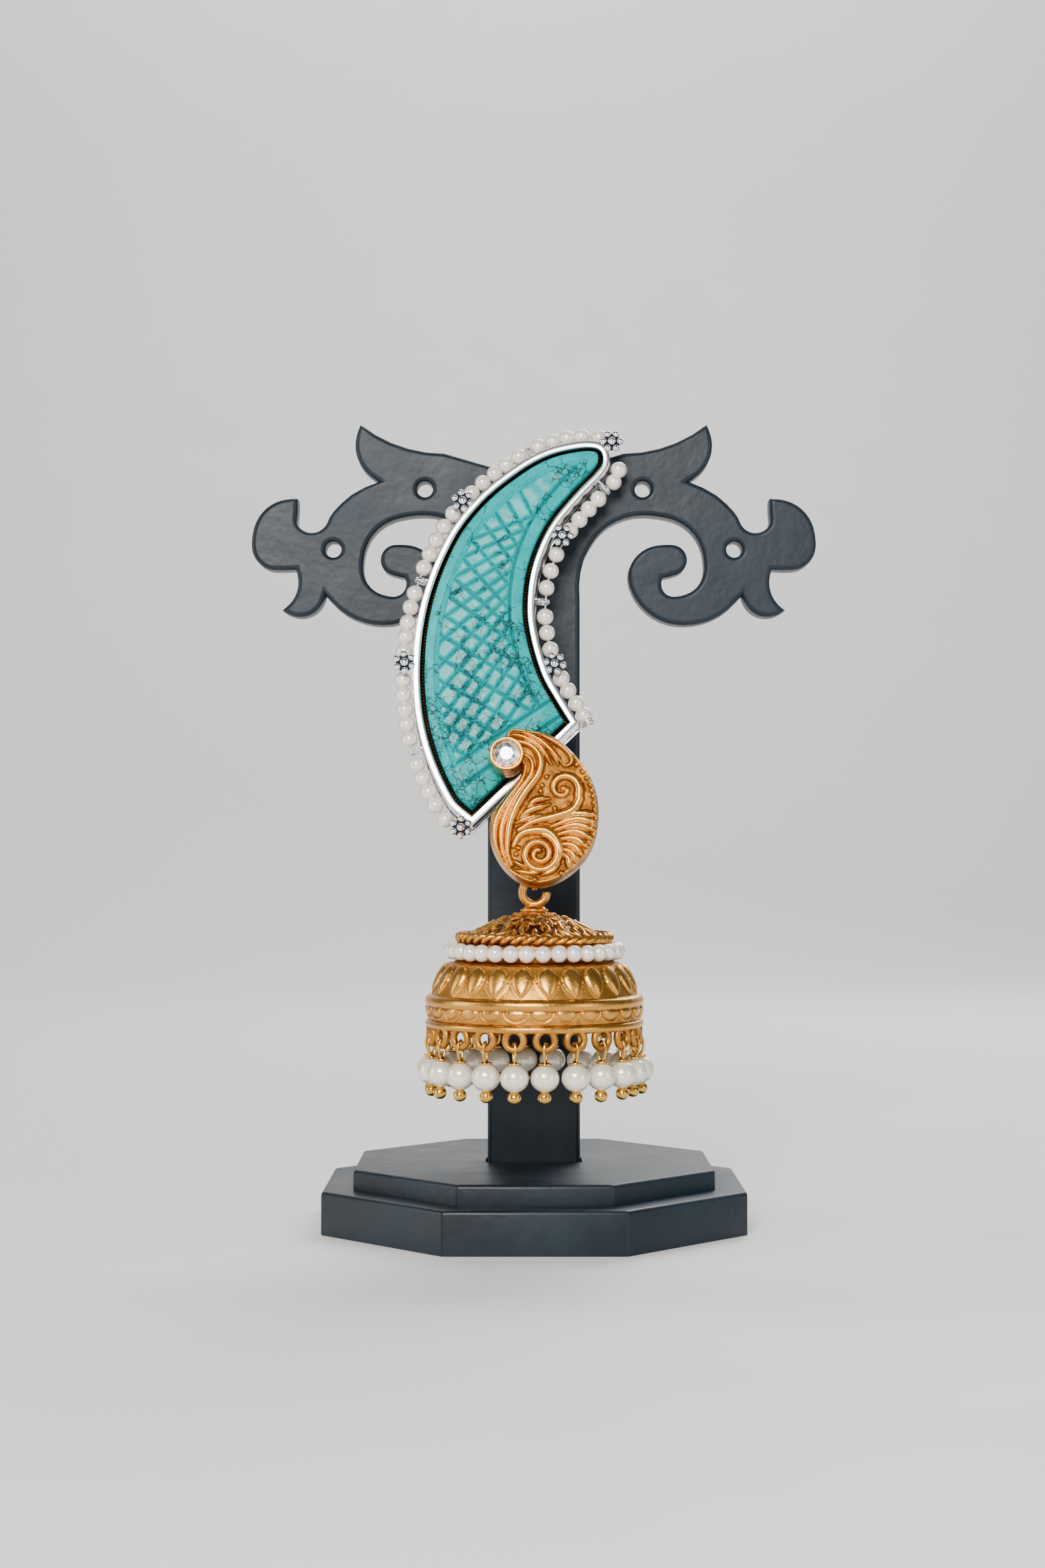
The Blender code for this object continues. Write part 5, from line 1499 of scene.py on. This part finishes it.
def ring_pearls(pearl, wire):
    """Pearls on a wire round the shoulder."""
    mesh = bmesh.new()
    thread = bmesh.new()
    for i in range(RING_PEARLS):
        a = 2 * pi * (i + 0.25) / RING_PEARLS
        out = polar(1, a)
        lift = random.uniform(-0.07, 0.07) * MM
        spot = out * (RING_WIDE / 2 + random.uniform(-0.05, 0.05) * MM) + UP * (RING_HEIGHT + lift)
        size = RING_PEARL / 2 * random.uniform(1.02, 1.06)
        axis = Vector((-sin(a), cos(a), random.uniform(-0.1, 0.1)))
        ball(mesh, spot, size, axis, 0.99, 28, 18)
    ring = circle(UP * RING_HEIGHT, ACROSS, Vector((0, 1, 0)), RING_WIDE / 2, 66)
    tube(thread, ring, THREAD / 2, 8, True)
    bell_piece("bell_ring_pearls", mesh, pearl, "small_pearl", "bell_pearl_ring")
    bell_piece("bell_ring_wire", thread, wire, "antique_gold")


def drops(pearl, gold):
    """Each drop is an open wire eye, a cup, a pearl and a ball, a little askew."""
    pearls = bmesh.new()
    metal = bmesh.new()
    top = EYE_RADIUS
    half = DROP_PEARL / 2
    foot = -DROP_CENTRE - half - 0.15 * MM
    cap = CAP_WIDE / 2
    knob = BALL_WIDE / 2
    cap_profile = [(cap * share, -half + rise * MM) for share, rise in CAP_PROFILE]
    neck_profile = [(cap * share, half + rise * MM) for share, rise in NECK_PROFILE]
    for i in range(DROPS):
        out, side = drop_ways(i)
        hang = out * DROP_CIRCLE / 2 + UP * EYE_HEIGHT
        lean = out * random.uniform(-0.05, 0.05) + side * random.uniform(-0.018, 0.018)
        way = (lean - UP).normalized()
        wide = (out + side * random.uniform(-0.55, 0.55)).normalized()
        wide = (wide - way * wide.dot(way)).normalized()
        eye = []
        for t in (2 * pi * k / 30 for k in range(30)):
            lift = (foot - top) / 2 - (foot + top) / 2 * cos(t)
            eye.append(hang + way * lift + wide * 0.72 * MM * sin(t) * (1 - 0.25 * (1 - cos(t)) / 2))
        tube(metal, eye, EYE_WIRE / 2, 8, True)
        centre = hang - way * DROP_CENTRE
        size = half * random.uniform(0.98, 1.0)
        ball(pearls, centre, size, way, random.uniform(0.96, 0.99), 36, 24)
        turn = Matrix.Translation(centre) @ way.to_track_quat('Z', 'X').to_matrix().to_4x4()
        lathe(metal, cap_profile, 24, turn)
        lathe(metal, neck_profile, 20, turn)
        ball(metal, centre + way * (half + knob * 0.72), knob, way, 0.96, 24, 16)
    nodes = [f"drop_{i + 1:02d}" for i in range(DROPS)]
    bell_piece("drop_pearls", pearls, pearl, "drop_pearl", *nodes)
    bell_piece("drop_metal", metal, gold, "antique_gold", height=0.85, sharp=50)


# ---------------------------------------------------------------- stage
def stage_and_camera():
    """The pale floor and wall, the lights, and the camera where the photograph was taken."""
    floor = bmesh.new()
    profile = [(-FLOOR_REACH, 0.0), (WALL_BACK - WALL_BEND, 0.0)]
    profile += [(WALL_BACK - WALL_BEND + WALL_BEND * sin(a), WALL_BEND - WALL_BEND * cos(a))
                for a in (pi / 2 * i / 16 for i in range(1, 17))]
    profile.append((WALL_BACK, WALL_TOP))
    left, right = [[floor.verts.new((x, y, z)) for y, z in profile] for x in (-FLOOR_REACH, FLOOR_REACH)]
    for i in range(len(profile) - 1):
        floor.faces.new((left[i], right[i], right[i + 1], left[i + 1]))
    mesh = mesh_from("floor", floor)
    mesh.shade_smooth()
    mesh.materials.append(floor_finish())
    placed("floor", mesh)
    world = bpy.data.worlds.new("studio")
    bpy.context.scene.world = world
    world.use_nodes = True
    sky = world.node_tree.nodes["Background"].inputs
    sky["Color"].default_value = WORLD_COLOUR
    sky["Strength"].default_value = WORLD_STRENGTH
    for name, (place, wide, tall, power, colour) in LIGHTS.items():
        lamp = bpy.data.lights.new(name, 'AREA')
        lamp.shape = 'RECTANGLE'
        lamp.size = wide
        lamp.size_y = tall
        lamp.energy = power
        lamp.color = colour
        holder = placed(name, lamp)
        holder.location = place
        target = Vector((0, WALL_BACK, WALL_AIM)) if name == "backdrop" else AIM
        holder.rotation_euler = (target - Vector(place)).to_track_quat('-Z', 'Y').to_euler()
    camera = bpy.data.cameras.new("camera")
    camera.sensor_width = SENSOR
    camera.lens = FOCAL_PIXELS / PHOTO_TALL * SENSOR
    camera.clip_start = 0.01
    camera.clip_end = 20
    holder = placed("camera", camera)
    holder.location = CAMERA_PLACE
    holder.rotation_euler = (pi / 2 + atan((HORIZON_PIXEL - PHOTO_TALL / 2) / FOCAL_PIXELS), 0, 0)
    bpy.context.scene.camera = holder


plastic = plastic_finish()
silver = silver_finish()
turquoise = turquoise_finish()
small_pearl = pearl_finish("small_pearl", rgb(0.98, 0.92, 0.82))
drop_pearl = pearl_finish("drop_pearl", rgb(0.97, 0.92, 0.76))
# The recess colours below carry painted shade as well as the antique darkening.
gold = gold_finish("antique_gold", rgb(0.63, 0.285, 0.046), rgb(0.13, 0.042, 0.007), 0.27)
wire_gold = gold_finish("wire_gold", rgb(0.74, 0.42, 0.07), rgb(0.30, 0.12, 0.015), 0.14)
crystal = crystal_finish()
foil = foil_finish()
string_wire = thread_finish()

stage_and_camera()
stand_base(plastic)
stand_upright(plastic)
bezel_tray(silver)
bezel_beading(gold)
bezel_fittings(silver)
ear_nut(silver)
side_pearls("pearls_outer_side", False, RUNS_OUTER_SIDE, "pearl_string_left", small_pearl, string_wire)
side_pearls("pearls_hollow_side", True, RUNS_HOLLOW_SIDE, "pearl_string_right", small_pearl, string_wire)
turquoise_stone(turquoise)
paisley(gold, foil, crystal)
bell_shell(gold)
bell_fittings(gold)
ring_pearls(small_pearl, string_wire)
drops(drop_pearl, wire_gold)
